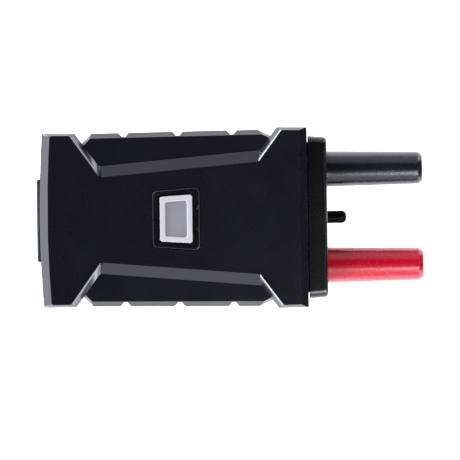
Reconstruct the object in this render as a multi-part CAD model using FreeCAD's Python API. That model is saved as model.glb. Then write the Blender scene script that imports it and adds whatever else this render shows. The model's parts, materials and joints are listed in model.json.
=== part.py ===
"""Plug-in logic analyzer module with two shrouded 4 mm plugs, as an assembly of separate pieces.

Millimetres. +X runs from the rear port to the plug tips, +Z up through the button face. The origin
is on the underside plane, below the middle of the overall length. The module is a mirror image of
itself left to right, apart from what stands on the board.
"""
import FreeCAD, Part
import math
import os

# Overall sizes
HOUSING_LENGTH = 52.95
HOUSING_HEIGHT = 22.0
COLLAR_LENGTH = 3.7
COLLAR_GAP = 0.2
PLUG_LENGTH = 18.9
DOOR_PROUD = 0.65
WALL = 1.6

# Hourglass outline: half widths, and lengths from the rear or the front end
REAR_HALF_WIDTH = 17.25
REAR_BLOCK_LENGTH = 7.05
REAR_BLOCK_HALF_WIDTH = 17.2
WAIST_FROM_REAR = 11.75
REAR_WAIST_HALF_WIDTH = 10.6
WAIST_FROM_FRONT = 9.3
FRONT_WAIST_HALF_WIDTH = 13.35
FLANGE_LENGTH = 5.9
FLANGE_HALF_WIDTH = 17.9
FRONT_HALF_WIDTH = 17.8
REAR_BOW = 0.6

# Bevels round the top and bottom faces: one drop, and a width for each kind of edge
BEVEL_DROP = 0.9
SIDE_BEVEL = 0.52
REAR_DIAGONAL_BEVEL = 1.15
LONG_BEVEL = 2.2
FRONT_DIAGONAL_BEVEL = 1.1
FLANGE_BEVEL = 0.6
FRONT_BEVEL = 1.5
REAR_BEVEL = 1.55

# Side grips
GRIP_SINK = 1.1
GRIP_THICKNESS = 1.8
GRIP_REAR_FROM_REAR = 8.45
GRIP_REAR_HALF_WIDTH = 15.1
GRIP_SHOULDER = 1.9
GRIP_HALF_WIDTH_REAR = 17.1
GRIP_HALF_WIDTH_FRONT = 17.46
GRIP_SHOULDER_FROM_FRONT = 9.66
GRIP_FRONT_FROM_FRONT = 7.1
GRIP_FRONT_HALF_WIDTH = 16.2
GRIP_BEVEL = 1.0
GRIP_END_BEVEL = 0.5
GRIP_BEVEL_DROP = 1.3
NOTCH_COUNT = 3
NOTCH_PITCH = 10.7
NOTCH_FIRST_FROM_REAR = 16.75
NOTCH_MOUTH = 2.0
NOTCH_ROOT = 0.7
NOTCH_DEPTH = 0.8

# Seam between the two shells
TONGUE_INSET = 0.5
TONGUE_WIDTH = 0.6
TONGUE_HEIGHT = 0.8
GASKET_HEIGHT = 0.4
SEAM_CLEARANCE = 0.05

# Housing screws
SCREW_RADIUS = 1.0
SCREW_HEAD_RADIUS = 1.9
SCREW_HEAD_HEIGHT = 1.5
SCREW_HEAD_SINK = 1.1
SCREW_LENGTH = 13.0
SCREW_SOCKET_RADIUS = 0.8
SCREW_SOCKET_DEPTH = 0.8
SCREW_CLEARANCE = 0.15
THREAD_CLEARANCE = 0.02
BOSS_RADIUS = 2.2
SCREW_BEHIND_PANEL = 1.6
REAR_SCREW_Y = 12.2
FRONT_SCREW_FROM_FRONT = 14.4
FRONT_SCREW_Y = 8.2

# Front collar
COLLAR_HALF_WIDTH = 16.1
COLLAR_HALF_HEIGHT = 8.5
COLLAR_TAPER = 0.3
COLLAR_CORNER = 1.6
COLLAR_EDGE = 0.7
COLLAR_SIDE_ROOM = 0.45
COLLAR_TOP_ROOM = 0.2
COLLAR_FLANGE = 0.9
COLLAR_FLANGE_THICKNESS = 1.4
OPENING_CLEARANCE = 0.1

# Plugs
PLUG_PITCH = 19.05
PIN_RADIUS = 2.0
PIN_CLEARANCE = 0.05
PIN_RECESS = 1.2
PIN_COLLAR_THICKNESS = 0.8
PIN_TAIL = 3.6
PIN_HEAD_LENGTH = 2.4
PIN_NOSE_LENGTH = 1.0
PIN_NOSE_RADIUS = 1.55
CAGE_LENGTH = 10.5
CAGE_GROOVE = 0.4
CAGE_THICKNESS = 0.2
CAGE_BULGE = 0.35
CAGE_SLOTS = 8
CAGE_SLOT_WIDTH = 0.5
CAGE_RING = 1.1
SHROUD_ROOT_RADIUS = 3.55
SHROUD_TIP_RADIUS = 3.25
SHROUD_BORE_RADIUS = 2.65
SHROUD_BORE_DEPTH = 17.7
SHROUD_TIP_WALL = 0.07
SHROUD_TIP_CHAMFER = 0.85
SHROUD_FLANGE_RADIUS = 4.5
SHROUD_FLANGE_THICKNESS = 1.2
LUG_THICKNESS = 0.6
LUG_RADIUS = 3.9
LUG_BLADE_HEIGHT = 3.0
LUG_BLADE_Y = 4.6
LUG_FOOT_LENGTH = 2.0
NUT_ACROSS_FLATS = 7.0
NUT_THICKNESS = 2.4
NUT_CLEARANCE = 0.2

# Presence plunger
PLUNGER_RADIUS = 1.25
PLUNGER_REACH = 3.76
PLUNGER_TRAVEL = 3.2
PLUNGER_TIP_ROUND = 0.9
PLUNGER_SHOULDER = 0.75
PLUNGER_SHOULDER_THICKNESS = 1.0
TAIL_RADIUS = 0.8
TAIL_LENGTH = 8.6
GUIDE_WALL = 1.2
GUIDE_FLANGE = 0.7
GUIDE_FLANGE_THICKNESS = 1.0
GUIDE_CLEARANCE = 0.05
SEAL_WIRE_RADIUS = 0.35
SEAL_FROM_FACE = 2.6
SPRING_WIRE_RADIUS = 0.18
SPRING_RADIUS = 1.5
SPRING_LENGTH = 6.4
BRACKET_THICKNESS = 1.4
BRACKET_HALF_WIDTH = 3.2
BRACKET_ABOVE_AXIS = 2.6
SENSOR_LENGTH = 6.0
SENSOR_GAP = 1.1
SENSOR_HALF_WIDTH = 2.6
SENSOR_SLOT_HALF_WIDTH = 1.2
SENSOR_SLOT_BELOW_AXIS = 1.2
SENSOR_ABOVE_AXIS = 1.6

# Window button and its surround
BUTTON_FROM_REAR = 26.95
BUTTON_LENGTH = 6.4
BUTTON_REAR_HALF_WIDTH = 4.4
BUTTON_FRONT_HALF_WIDTH = 4.8
BUTTON_PROUD = 0.45
BUTTON_TRAVEL = 0.5
BUTTON_FLANGE = 0.7
BUTTON_FLANGE_THICKNESS = 0.8
BUTTON_CORNER = 0.5
BUTTON_RIM = 1.05
WINDOW_SINK = 0.3
BUTTON_CLEARANCE = 0.12
BUTTON_ROD_HALF = 1.1
SURROUND_LENGTH = 9.36
SURROUND_REAR_HALF_WIDTH = 5.58
SURROUND_FRONT_HALF_WIDTH = 6.3
SURROUND_THICKNESS = 1.2
SURROUND_CORNER = 0.8
SURROUND_DISH = 0.22
SURROUND_LAND = 0.35
SURROUND_SLOPE = 0.8
SURROUND_CLEARANCE = 0.1
SURROUND_SHELF = 1.9
SHELF_CLEARANCE = 0.4

# Board and what stands on it
BOARD_BELOW_AXIS = 2.9
BOARD_THICKNESS = 1.6
BOARD_HALF_WIDTH = 12.8
BOARD_TAIL_HALF_WIDTH = 8.2
BOARD_GAP = 0.3
BOARD_SHOULDER_GAP = 0.5
BOSS_CLEARANCE = 0.3
BOARD_SCREW_RADIUS = 0.7
BOARD_SCREW_HEAD_RADIUS = 1.4
BOARD_SCREW_HEAD_HEIGHT = 0.9
BOARD_SCREW_GRIP = 1.9
BOARD_SCREW_Y = 11.3
BOARD_SCREW_FROM_REAR = 19.55
BOARD_SCREW_FROM_FRONT = 21.4
POST_RADIUS = 1.6
SWITCH_SIZE = 6.0
SWITCH_HEIGHT = 3.4
STEM_RADIUS = 1.7
STEM_HEIGHT = 1.5
STEM_DEPTH = 1.1
STEM_CLEARANCE = 0.1
GUIDE_TUBE_HALF = 4.1
GUIDE_TUBE_WALL = 0.9
GUIDE_TUBE_GAP = 0.3
LED_LENGTH = 1.6
LED_WIDTH = 0.8
LED_HEIGHT = 0.6
LED_CLEARANCE = 0.15
CONTROLLER_SIZE = 8.0
CONTROLLER_FROM_REAR = 16.65
CONTROLLER_Y = -4.6
SIGNAL_CHIP_SIZE = 7.0
SIGNAL_CHIP_Y = 4.8
CHIP_HEIGHT = 1.0
MEMORY_LENGTH = 5.0
MEMORY_WIDTH = 4.0
MEMORY_Y = 9.0
CRYSTAL_LENGTH = 3.2
CRYSTAL_WIDTH = 2.5
CRYSTAL_HEIGHT = 0.8
CRYSTAL_Y = -8.4
RESISTOR_LENGTH = 3.2
RESISTOR_WIDTH = 1.6
RESISTOR_HEIGHT = 0.6
RESISTOR_ROWS = (6.5, 8.9)
RESISTOR_FROM_FRONT = 21.6
ARRESTOR_LENGTH = 3.0
ARRESTOR_WIDTH = 2.6
ARRESTOR_HEIGHT = 2.6
ARRESTOR_FROM_FRONT = 17.9
ARRESTOR_Y = 11.3
SMALL_PART_LENGTH = 1.0
SMALL_PART_WIDTH = 0.5
SMALL_PART_HEIGHT = 0.5
SMALL_PART_PITCH = 1.7
SMALL_PART_COUNT = 6

# Rear port and its door
PANEL_HALF_WIDTH = 9.6
PANEL_HALF_HEIGHT = 5.6
PANEL_FLANGE = 0.9
PANEL_FLANGE_THICKNESS = 1.2
PANEL_SINK = 0.25
DOOR_HALF_WIDTH = 8.15
DOOR_HALF_HEIGHT = 4.5
DOOR_THICKNESS = 1.0
DOOR_KNUCKLE_RADIUS = 0.9
DOOR_CLEARANCE = 0.15
DOOR_CORNER = 0.45
DOOR_GROOVE_RADIUS = 0.3
DOOR_GROOVE_HALF_LENGTH = 3.0
DOOR_PIN_RADIUS = 0.5
DOOR_PIN_CLEARANCE = 0.05
DOOR_PIN_GRIP = 0.9
SOCKET_HALF_WIDTH = 4.47
SOCKET_HEIGHT = 3.2
SOCKET_LENGTH = 7.3
SOCKET_WALL = 0.3
SOCKET_CLEARANCE = 0.2
TONGUE_HALF = 3.3
TONGUE_THICKNESS = 0.7
TONGUE_REACH = 4.4
TONGUE_ROOT = 2.2
CONTACT_COUNT = 10
CONTACT_PITCH = 0.55
CONTACT_WIDTH = 0.28
CONTACT_THICKNESS = 0.05
CONTACT_REACH = 3.6

# Battery
BATTERY_LENGTH = 20.0
BATTERY_HALF_WIDTH = 6.4
BATTERY_THICKNESS = 3.6
BATTERY_PAD_HEIGHT = 0.4
BATTERY_FROM_REAR = 13.35
BATTERY_EDGE = 0.6
TAB_THICKNESS = 0.3
TAB_WIDTH = 2.0
TAB_Y = 2.5

# Planes that everything is placed from
OVERALL_LENGTH = DOOR_PROUD + HOUSING_LENGTH + COLLAR_GAP + COLLAR_LENGTH + PLUG_LENGTH
X_REAR = DOOR_PROUD - OVERALL_LENGTH / 2
X_FRONT = X_REAR + HOUSING_LENGTH
X_COLLAR = X_FRONT + COLLAR_GAP + COLLAR_LENGTH
X_TIP = X_COLLAR + PLUG_LENGTH
X_NECK = X_FRONT - WALL
X_COLLAR_BACK = X_NECK - COLLAR_FLANGE_THICKNESS
AXIS_Z = HOUSING_HEIGHT / 2
SEAM_Z = AXIS_Z
BOARD_TOP = AXIS_Z - BOARD_BELOW_AXIS
BOARD_UNDER = BOARD_TOP - BOARD_THICKNESS
CORE_LOW = GRIP_SINK + GRIP_THICKNESS
CORE_HIGH = HOUSING_HEIGHT - CORE_LOW
BUTTON_X = X_REAR + BUTTON_FROM_REAR
SURROUND_UNDER = HOUSING_HEIGHT - SURROUND_THICKNESS
DOOR_AXIS_X = X_REAR - DOOR_PROUD + DOOR_KNUCKLE_RADIUS
DOOR_AXIS_Z = AXIS_Z - DOOR_HALF_HEIGHT + DOOR_KNUCKLE_RADIUS
COLLAR_NECK_HALF_WIDTH = FRONT_HALF_WIDTH - WALL - COLLAR_FLANGE - COLLAR_SIDE_ROOM
COLLAR_NECK_HALF_HEIGHT = HOUSING_HEIGHT / 2 - WALL - BEVEL_DROP - COLLAR_FLANGE - COLLAR_TOP_ROOM
X_PANEL_BACK = X_REAR + REAR_BOW + WALL
X_PANEL_END = X_PANEL_BACK + PANEL_FLANGE_THICKNESS
X_BOARD_REAR = X_PANEL_END + BOARD_GAP
X_BOARD_SHOULDER = X_REAR + GRIP_REAR_FROM_REAR + GRIP_THICKNESS + WALL + BOARD_SHOULDER_GAP
X_BOARD_FRONT = X_FRONT - GRIP_FRONT_FROM_FRONT - GRIP_THICKNESS - WALL - BOARD_GAP
X_REAR_SCREWS = X_PANEL_END + SCREW_BEHIND_PANEL
X_LUG_FRONT = X_COLLAR_BACK - SHROUD_FLANGE_THICKNESS
X_NUT_BACK = X_LUG_FRONT - LUG_THICKNESS - NUT_THICKNESS
NUT_CORNER_RADIUS = NUT_ACROSS_FLATS / 2 / math.cos(math.pi / 6)
X_SHOULDER = X_COLLAR_BACK - GUIDE_FLANGE_THICKNESS
X_SPRING_FRONT = X_SHOULDER - PLUNGER_SHOULDER_THICKNESS
X_BRACKET = X_SPRING_FRONT - SPRING_LENGTH
PLUG_SIDES = {"black": 1, "red": -1}
SIDES = {"left": 1, "right": -1}


def box(x_low, x_high, y_low, y_high, z_low, z_high):
    """Plain block between two corners."""
    corner = FreeCAD.Vector(x_low, y_low, z_low)
    return Part.makeBox(x_high - x_low, y_high - y_low, z_high - z_low, corner)


def centred_box(x, y, length, width, z_low, height):
    """Block standing on a level, centred on a point."""
    return box(x - length / 2, x + length / 2, y - width / 2, y + width / 2, z_low, z_low + height)


def cylinder_x(radius, x_low, x_high, y=0.0, z=AXIS_Z):
    """Cylinder along X."""
    start = FreeCAD.Vector(x_low, y, z)
    return Part.makeCylinder(radius, x_high - x_low, start, FreeCAD.Vector(1, 0, 0))


def cylinder_y(radius, y_low, y_high, x, z):
    """Cylinder along Y."""
    start = FreeCAD.Vector(x, y_low, z)
    return Part.makeCylinder(radius, y_high - y_low, start, FreeCAD.Vector(0, 1, 0))


def cylinder_z(radius, z_low, z_high, x, y):
    """Cylinder along Z."""
    start = FreeCAD.Vector(x, y, z_low)
    return Part.makeCylinder(radius, z_high - z_low, start, FreeCAD.Vector(0, 0, 1))


def turned(profile, y=0.0):
    """Solid of revolution about the X axis at plug height, from (x, radius) points."""
    points = [FreeCAD.Vector(x, 0, radius) for x, radius in profile]
    face = Part.Face(Part.makePolygon(points + points[:1]))
    solid = face.revolve(FreeCAD.Vector(0, 0, 0), FreeCAD.Vector(1, 0, 0), 360)
    solid.translate(FreeCAD.Vector(0, y, AXIS_Z))
    return solid


def joined(shapes):
    """One solid from touching or overlapping ones."""
    first, *rest = shapes
    return first.fuse(rest).removeSplitter() if rest else first


def offset_outline(points, insets):
    """Move each edge of a counter-clockwise outline inwards by its own inset."""
    lines = []
    for index, start in enumerate(points):
        end = points[(index + 1) % len(points)]
        length = math.hypot(end[0] - start[0], end[1] - start[1])
        along = ((end[0] - start[0]) / length, (end[1] - start[1]) / length)
        moved = (start[0] - along[1] * insets[index], start[1] + along[0] * insets[index])
        lines.append((moved, along))
    corners = []
    for index, (start, along) in enumerate(lines):
        before, back = lines[index - 1]
        cross = back[0] * along[1] - back[1] * along[0]
        gap = (start[0] - before[0], start[1] - before[1])
        step = (gap[0] * along[1] - gap[1] * along[0]) / cross
        corners.append((before[0] + back[0] * step, before[1] + back[1] * step))
    return corners


def outline_edges(points, z, bow):
    """Edges of an outline at one height. The last edge bulges outwards by bow, towards -X."""
    corners = [FreeCAD.Vector(x, y, z) for x, y in points]
    edges = [Part.LineSegment(a, b).toShape() for a, b in zip(corners, corners[1:])]
    start, end = corners[-1], corners[0]
    if bow == 0:
        return edges + [Part.LineSegment(start, end).toShape()]
    middle = (start + end) / 2 - FreeCAD.Vector(bow, 0, 0)
    return edges + [Part.Arc(start, middle, end).toShape()]


def stacked_solid(levels, bow=0.0):
    """Solid through outlines at rising heights, each a list of points, with flat or ruled sides."""
    rings = [outline_edges(points, z, bow) for z, points in levels]
    faces = [Part.Face(Part.Wire(rings[0])), Part.Face(Part.Wire(rings[-1]))]
    for lower, upper in zip(rings, rings[1:]):
        for low_edge, high_edge in zip(lower, upper):
            curved = isinstance(low_edge.Curve, Part.Circle)
            if curved:
                faces.append(Part.makeRuledSurface(low_edge, high_edge))
                continue
            corners = [low_edge.Vertexes[0].Point, low_edge.Vertexes[1].Point]
            corners += [high_edge.Vertexes[1].Point, high_edge.Vertexes[0].Point]
            faces.append(Part.Face(Part.makePolygon(corners + corners[:1])))
    shell = Part.makeShell(faces)
    shell.sewShape()
    return outward(Part.makeSolid(shell))


def outward(solid):
    """The same solid with its faces looking outwards."""
    if solid.Volume < 0:
        solid.reverse()
    return solid


def prism(points, z_low, z_high, bow=0.0):
    """Straight-walled solid over an outline."""
    face = Part.Face(Part.Wire(outline_edges(points, z_low, bow)))
    return face.extrude(FreeCAD.Vector(0, 0, z_high - z_low))


def mirrored_outline(half):
    """Counter-clockwise outline from the points of its +Y half, listed from rear to front."""
    return [(x, -y) for x, y in half] + [(x, y) for x, y in reversed(half)]


def mirrored_insets(half, front, rear):
    """Insets in the order of mirrored_outline's edges."""
    return list(half) + [front] + list(reversed(half)) + [rear]


def hourglass_half():
    """The +Y half of the housing's outline, rear to front."""
    return [
        (X_REAR + REAR_BOW, REAR_HALF_WIDTH),
        (X_REAR + REAR_BLOCK_LENGTH, REAR_BLOCK_HALF_WIDTH),
        (X_REAR + WAIST_FROM_REAR, REAR_WAIST_HALF_WIDTH),
        (X_FRONT - WAIST_FROM_FRONT, FRONT_WAIST_HALF_WIDTH),
        (X_FRONT - FLANGE_LENGTH, FLANGE_HALF_WIDTH),
        (X_FRONT, FRONT_HALF_WIDTH),
    ]


def hourglass_solid(inset):
    """Bevelled hourglass block, or the same block shrunk all round by inset."""
    outline = mirrored_outline(hourglass_half())
    half_bevels = [SIDE_BEVEL, REAR_DIAGONAL_BEVEL, LONG_BEVEL, FRONT_DIAGONAL_BEVEL, FLANGE_BEVEL]
    bevels = mirrored_insets(half_bevels, FRONT_BEVEL, REAR_BEVEL)
    wide = offset_outline(outline, [inset] * len(bevels))
    narrow = offset_outline(outline, [inset + bevel for bevel in bevels])
    low = inset
    high = HOUSING_HEIGHT - inset
    levels = [(low, narrow), (low + BEVEL_DROP, wide), (high - BEVEL_DROP, wide), (high, narrow)]
    return stacked_solid(levels, REAR_BOW)


def hourglass_prism(inset, z_low, z_high):
    """Straight-walled hourglass block."""
    outline = mirrored_outline(hourglass_half())
    shrunk = offset_outline(outline, [inset] * len(outline))
    return prism(shrunk, z_low, z_high, REAR_BOW)


def core_prism(inset, z_low, z_high):
    """Block that carries the side grips, under them by their thickness."""
    half = [
        (X_REAR + GRIP_REAR_FROM_REAR + GRIP_THICKNESS, GRIP_HALF_WIDTH_REAR - GRIP_THICKNESS),
        (X_FRONT - GRIP_FRONT_FROM_FRONT - GRIP_THICKNESS, GRIP_HALF_WIDTH_FRONT - GRIP_THICKNESS),
    ]
    outline = mirrored_outline(half)
    shrunk = offset_outline(outline, [inset] * len(outline))
    return prism(shrunk, z_low, z_high)


def housing_envelope(inset=0.0):
    """The two shells' outer form, or their cavity when inset by the wall."""
    core = core_prism(inset, CORE_LOW + inset, CORE_HIGH - inset)
    return hourglass_solid(inset).fuse(core)


def seam_ring(outer_inset, width, z_low, z_high):
    """Ring that follows the shells' wall, used for the tongue, its groove and the gasket."""
    inner_inset = outer_inset + width
    outer = hourglass_prism(outer_inset, z_low, z_high).fuse(core_prism(outer_inset, z_low, z_high))
    inner = hourglass_prism(inner_inset, z_low, z_high).fuse(core_prism(inner_inset, z_low, z_high))
    return outer.cut(inner).cut(end_openings(seam_stop()))


def seam_stop():
    """How far the tongue and gasket stay short of the two end openings."""
    return WALL


def end_openings(margin):
    """The openings for the collar's neck and the rear panel, through the end walls."""
    neck_y = COLLAR_NECK_HALF_WIDTH + OPENING_CLEARANCE + margin
    neck_z = COLLAR_NECK_HALF_HEIGHT + OPENING_CLEARANCE + margin
    panel_y = PANEL_HALF_WIDTH + OPENING_CLEARANCE + margin
    panel_z = PANEL_HALF_HEIGHT + OPENING_CLEARANCE + margin
    front = box(X_NECK - WALL, X_FRONT + WALL, -neck_y, neck_y, AXIS_Z - neck_z, AXIS_Z + neck_z)
    inner_end = X_PANEL_BACK + margin
    rear = box(X_REAR - WALL, inner_end, -panel_y, panel_y, AXIS_Z - panel_z, AXIS_Z + panel_z)
    return front.fuse(rear)


def screw_places():
    """Plan positions of the four housing screws."""
    front_x = X_FRONT - FRONT_SCREW_FROM_FRONT
    rear = [(X_REAR_SCREWS, side * REAR_SCREW_Y) for side in (1, -1)]
    return rear + [(front_x, side * FRONT_SCREW_Y) for side in (1, -1)]


def board_screw_places():
    """Plan positions of the board's own screws."""
    stations = (X_REAR + BOARD_SCREW_FROM_REAR, X_FRONT - BOARD_SCREW_FROM_FRONT)
    return [(x, side * BOARD_SCREW_Y) for x in stations for side in (1, -1)]


def trapezoid(length, rear_half, front_half):
    """Outline centred on the button, wider towards the plugs."""
    half = [(BUTTON_X - length / 2, rear_half), (BUTTON_X + length / 2, front_half)]
    return mirrored_outline(half)


def rounded_block(points, z_low, z_high, corner):
    """Straight-walled block with its upright edges rounded."""
    block = prism(points, z_low, z_high)
    middle = (z_low + z_high) / 2
    upright = [edge for edge in block.Edges if abs(edge.CenterOfMass.z - middle) < corner / 100]
    return block.makeFillet(corner, upright)


def surround_block(grow, z_low, z_high):
    """Form of the button surround, or of the recess it sits in."""
    points = trapezoid(SURROUND_LENGTH, SURROUND_REAR_HALF_WIDTH, SURROUND_FRONT_HALF_WIDTH)
    grown = offset_outline(points, [-grow] * len(points))
    return rounded_block(grown, z_low, z_high, SURROUND_CORNER + grow)


def button_block(grow, z_low, z_high):
    """Form of the window button, its flange or the hole it moves in."""
    points = trapezoid(BUTTON_LENGTH, BUTTON_REAR_HALF_WIDTH, BUTTON_FRONT_HALF_WIDTH)
    grown = offset_outline(points, [-grow] * len(points))
    return rounded_block(grown, z_low, z_high, BUTTON_CORNER + grow)


def nut_reliefs():
    """Room for the plug nuts where the housing's walls come close to them."""
    radius = NUT_CORNER_RADIUS + NUT_CLEARANCE
    return [cylinder_x(radius, X_NUT_BACK - NUT_CLEARANCE, X_NECK, side * PLUG_PITCH / 2)
            for side in PLUG_SIDES.values()]


def shell_bosses(z_low, z_high):
    """Screw bosses of one shell, kept inside the housing's form."""
    posts = [cylinder_z(BOSS_RADIUS, z_low, z_high, x, y) for x, y in screw_places()]
    return Part.makeCompound(posts).common(housing_envelope()).Solids


def top_shell():
    """Upper half of the housing, with the groove, the recess for the surround and four bosses."""
    half = box(X_REAR - WALL, X_FRONT + WALL, -REAR_HALF_WIDTH * 2, REAR_HALF_WIDTH * 2,
               SEAM_Z, HOUSING_HEIGHT + WALL)
    skin = housing_envelope().cut(housing_envelope(WALL)).cut(end_openings(0)).common(half)
    shelf_low = SURROUND_UNDER - SURROUND_SHELF
    shelf = surround_block(SURROUND_SHELF, shelf_low, HOUSING_HEIGHT - WALL / 2)
    bosses = shell_bosses(SEAM_Z + SEAM_CLEARANCE, HOUSING_HEIGHT - WALL / 2)
    shell = skin.fuse([shelf] + bosses)
    groove_inset = TONGUE_INSET - SEAM_CLEARANCE
    groove_width = TONGUE_WIDTH + 2 * SEAM_CLEARANCE
    groove = seam_ring(groove_inset, groove_width, SEAM_Z - WALL, SEAM_Z + TONGUE_HEIGHT + GASKET_HEIGHT)
    recess = surround_block(SURROUND_CLEARANCE, SURROUND_UNDER, HOUSING_HEIGHT + WALL)
    hole = button_block(BUTTON_FLANGE + SHELF_CLEARANCE, shelf_low - WALL, HOUSING_HEIGHT)
    pilot_end = SCREW_HEAD_SINK + SCREW_HEAD_HEIGHT + SCREW_LENGTH + SCREW_RADIUS
    pilot_radius = SCREW_RADIUS + THREAD_CLEARANCE
    pilots = [cylinder_z(pilot_radius, SEAM_Z, pilot_end, x, y) for x, y in screw_places()]
    return shell.cut([groove, recess, hole] + pilots + nut_reliefs()).removeSplitter()


def bottom_shell():
    """Lower half of the housing, with the tongue, screw bosses and the board's posts."""
    half = box(X_REAR - WALL, X_FRONT + WALL, -REAR_HALF_WIDTH * 2, REAR_HALF_WIDTH * 2,
               -WALL, SEAM_Z)
    skin = housing_envelope().cut(housing_envelope(WALL)).cut(end_openings(0)).common(half)
    tongue = seam_ring(TONGUE_INSET, TONGUE_WIDTH, SEAM_Z - WALL, SEAM_Z + TONGUE_HEIGHT)
    posts = [cylinder_z(POST_RADIUS, CORE_LOW + WALL / 2, BOARD_UNDER, x, y) for x, y in board_screw_places()]
    shell = skin.fuse([tongue] + shell_bosses(WALL / 2, SEAM_Z - SEAM_CLEARANCE) + posts)
    cuts = nut_reliefs()
    for x, y in screw_places():
        seat = SCREW_HEAD_SINK + SCREW_HEAD_HEIGHT
        cuts.append(cylinder_z(SCREW_HEAD_RADIUS + SCREW_CLEARANCE, -WALL, seat, x, y))
        cuts.append(cylinder_z(SCREW_RADIUS + SCREW_CLEARANCE, 0, SEAM_Z + WALL, x, y))
    pilot_radius = BOARD_SCREW_RADIUS + THREAD_CLEARANCE
    for x, y in board_screw_places():
        cuts.append(cylinder_z(pilot_radius, BOARD_UNDER - BOARD_SCREW_GRIP, BOARD_UNDER + WALL, x, y))
    return shell.cut(cuts).removeSplitter()


def housing_gasket():
    """Soft cord between the tongue and the bottom of its groove."""
    z_low = SEAM_Z + TONGUE_HEIGHT
    return seam_ring(TONGUE_INSET, TONGUE_WIDTH, z_low, z_low + GASKET_HEIGHT)


def grip_block():
    """Both grips' outer form before the housing is taken out of it."""
    half = [
        (X_REAR + GRIP_REAR_FROM_REAR, GRIP_REAR_HALF_WIDTH),
        (X_REAR + GRIP_REAR_FROM_REAR + GRIP_SHOULDER, GRIP_HALF_WIDTH_REAR),
        (X_FRONT - GRIP_SHOULDER_FROM_FRONT, GRIP_HALF_WIDTH_FRONT),
        (X_FRONT - GRIP_FRONT_FROM_FRONT, GRIP_FRONT_HALF_WIDTH),
    ]
    outline = mirrored_outline(half)
    bevels = mirrored_insets([GRIP_END_BEVEL, GRIP_BEVEL, GRIP_END_BEVEL], 0.0, 0.0)
    narrow = offset_outline(outline, bevels)
    low = GRIP_SINK
    high = HOUSING_HEIGHT - GRIP_SINK
    return stacked_solid([(low, narrow), (low + GRIP_BEVEL_DROP, outline),
                          (high - GRIP_BEVEL_DROP, outline), (high, narrow)])


def grip_notches(side):
    """Upright V grooves cut into one grip's outer face, square to that face."""
    run = HOUSING_LENGTH - GRIP_SHOULDER_FROM_FRONT - GRIP_REAR_FROM_REAR - GRIP_SHOULDER
    slope = (GRIP_HALF_WIDTH_FRONT - GRIP_HALF_WIDTH_REAR) / run
    notches = []
    for index in range(NOTCH_COUNT):
        from_rear = NOTCH_FIRST_FROM_REAR + index * NOTCH_PITCH
        x = X_REAR + from_rear
        face_y = GRIP_HALF_WIDTH_REAR + slope * (from_rear - GRIP_REAR_FROM_REAR - GRIP_SHOULDER)
        flare = (NOTCH_MOUTH - NOTCH_ROOT) / 2
        mouth = NOTCH_MOUTH / 2 + flare
        points = [(x - NOTCH_ROOT / 2, face_y - NOTCH_DEPTH), (x + NOTCH_ROOT / 2, face_y - NOTCH_DEPTH),
                  (x + mouth, face_y + NOTCH_DEPTH), (x - mouth, face_y + NOTCH_DEPTH)]
        placed = points if side > 0 else [(px, -py) for px, py in reversed(points)]
        notches.append(prism(placed, 0, HOUSING_HEIGHT))
    return notches


def side_grip(side):
    """C-shaped grip that wraps both shells in the waist on one side."""
    reach = FLANGE_HALF_WIDTH + WALL
    half = box(X_REAR, X_FRONT, min(0, side * reach), max(0, side * reach), 0, HOUSING_HEIGHT)
    grip = grip_block().common(half).cut([housing_envelope()] + grip_notches(side))
    return largest(grip).removeSplitter()


def largest(shape):
    """The biggest solid of a shape that a cut has left in pieces."""
    return max(shape.Solids, key=lambda solid: solid.Volume)


def rounded_plate(x, half_width, half_height, corner):
    """Closed outline of a rounded rectangle, square to X."""
    block = box(x, x + COLLAR_LENGTH, -half_width, half_width, AXIS_Z - half_height, AXIS_Z + half_height)
    long_edges = [edge for edge in block.Edges if abs(edge.tangentAt(edge.FirstParameter).x) > 0.9]
    rounded = block.makeFillet(corner, long_edges)
    end = min(rounded.Faces, key=lambda face: face.CenterOfMass.x)
    return end.OuterWire


def front_collar():
    """Nose block held in the front opening by a neck and an inner flange."""
    back = rounded_plate(X_FRONT + COLLAR_GAP, COLLAR_HALF_WIDTH, COLLAR_HALF_HEIGHT, COLLAR_CORNER)
    face = rounded_plate(X_COLLAR, COLLAR_HALF_WIDTH - COLLAR_TAPER, COLLAR_HALF_HEIGHT - COLLAR_TAPER,
                         COLLAR_CORNER)
    nose = outward(Part.makeLoft([back, face], True, True))
    rim = [edge for edge in nose.Edges if abs(edge.CenterOfMass.x - X_COLLAR) < COLLAR_EDGE / 100]
    nose = nose.makeFillet(COLLAR_EDGE, rim)
    neck = box(X_NECK, X_FRONT + COLLAR_GAP, -COLLAR_NECK_HALF_WIDTH, COLLAR_NECK_HALF_WIDTH,
               AXIS_Z - COLLAR_NECK_HALF_HEIGHT, AXIS_Z + COLLAR_NECK_HALF_HEIGHT)
    flange_y = COLLAR_NECK_HALF_WIDTH + COLLAR_FLANGE
    flange_z = COLLAR_NECK_HALF_HEIGHT + COLLAR_FLANGE
    flange = box(X_COLLAR_BACK, X_NECK, -flange_y, flange_y, AXIS_Z - flange_z, AXIS_Z + flange_z)
    holes = [cylinder_x(SHROUD_ROOT_RADIUS + PIN_CLEARANCE, X_COLLAR_BACK, X_COLLAR, side * PLUG_PITCH / 2)
             for side in PLUG_SIDES.values()]
    holes.append(cylinder_x(guide_radius() + GUIDE_CLEARANCE, X_COLLAR_BACK, X_COLLAR))
    return joined([nose, neck, flange]).cut(holes).removeSplitter()


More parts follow.
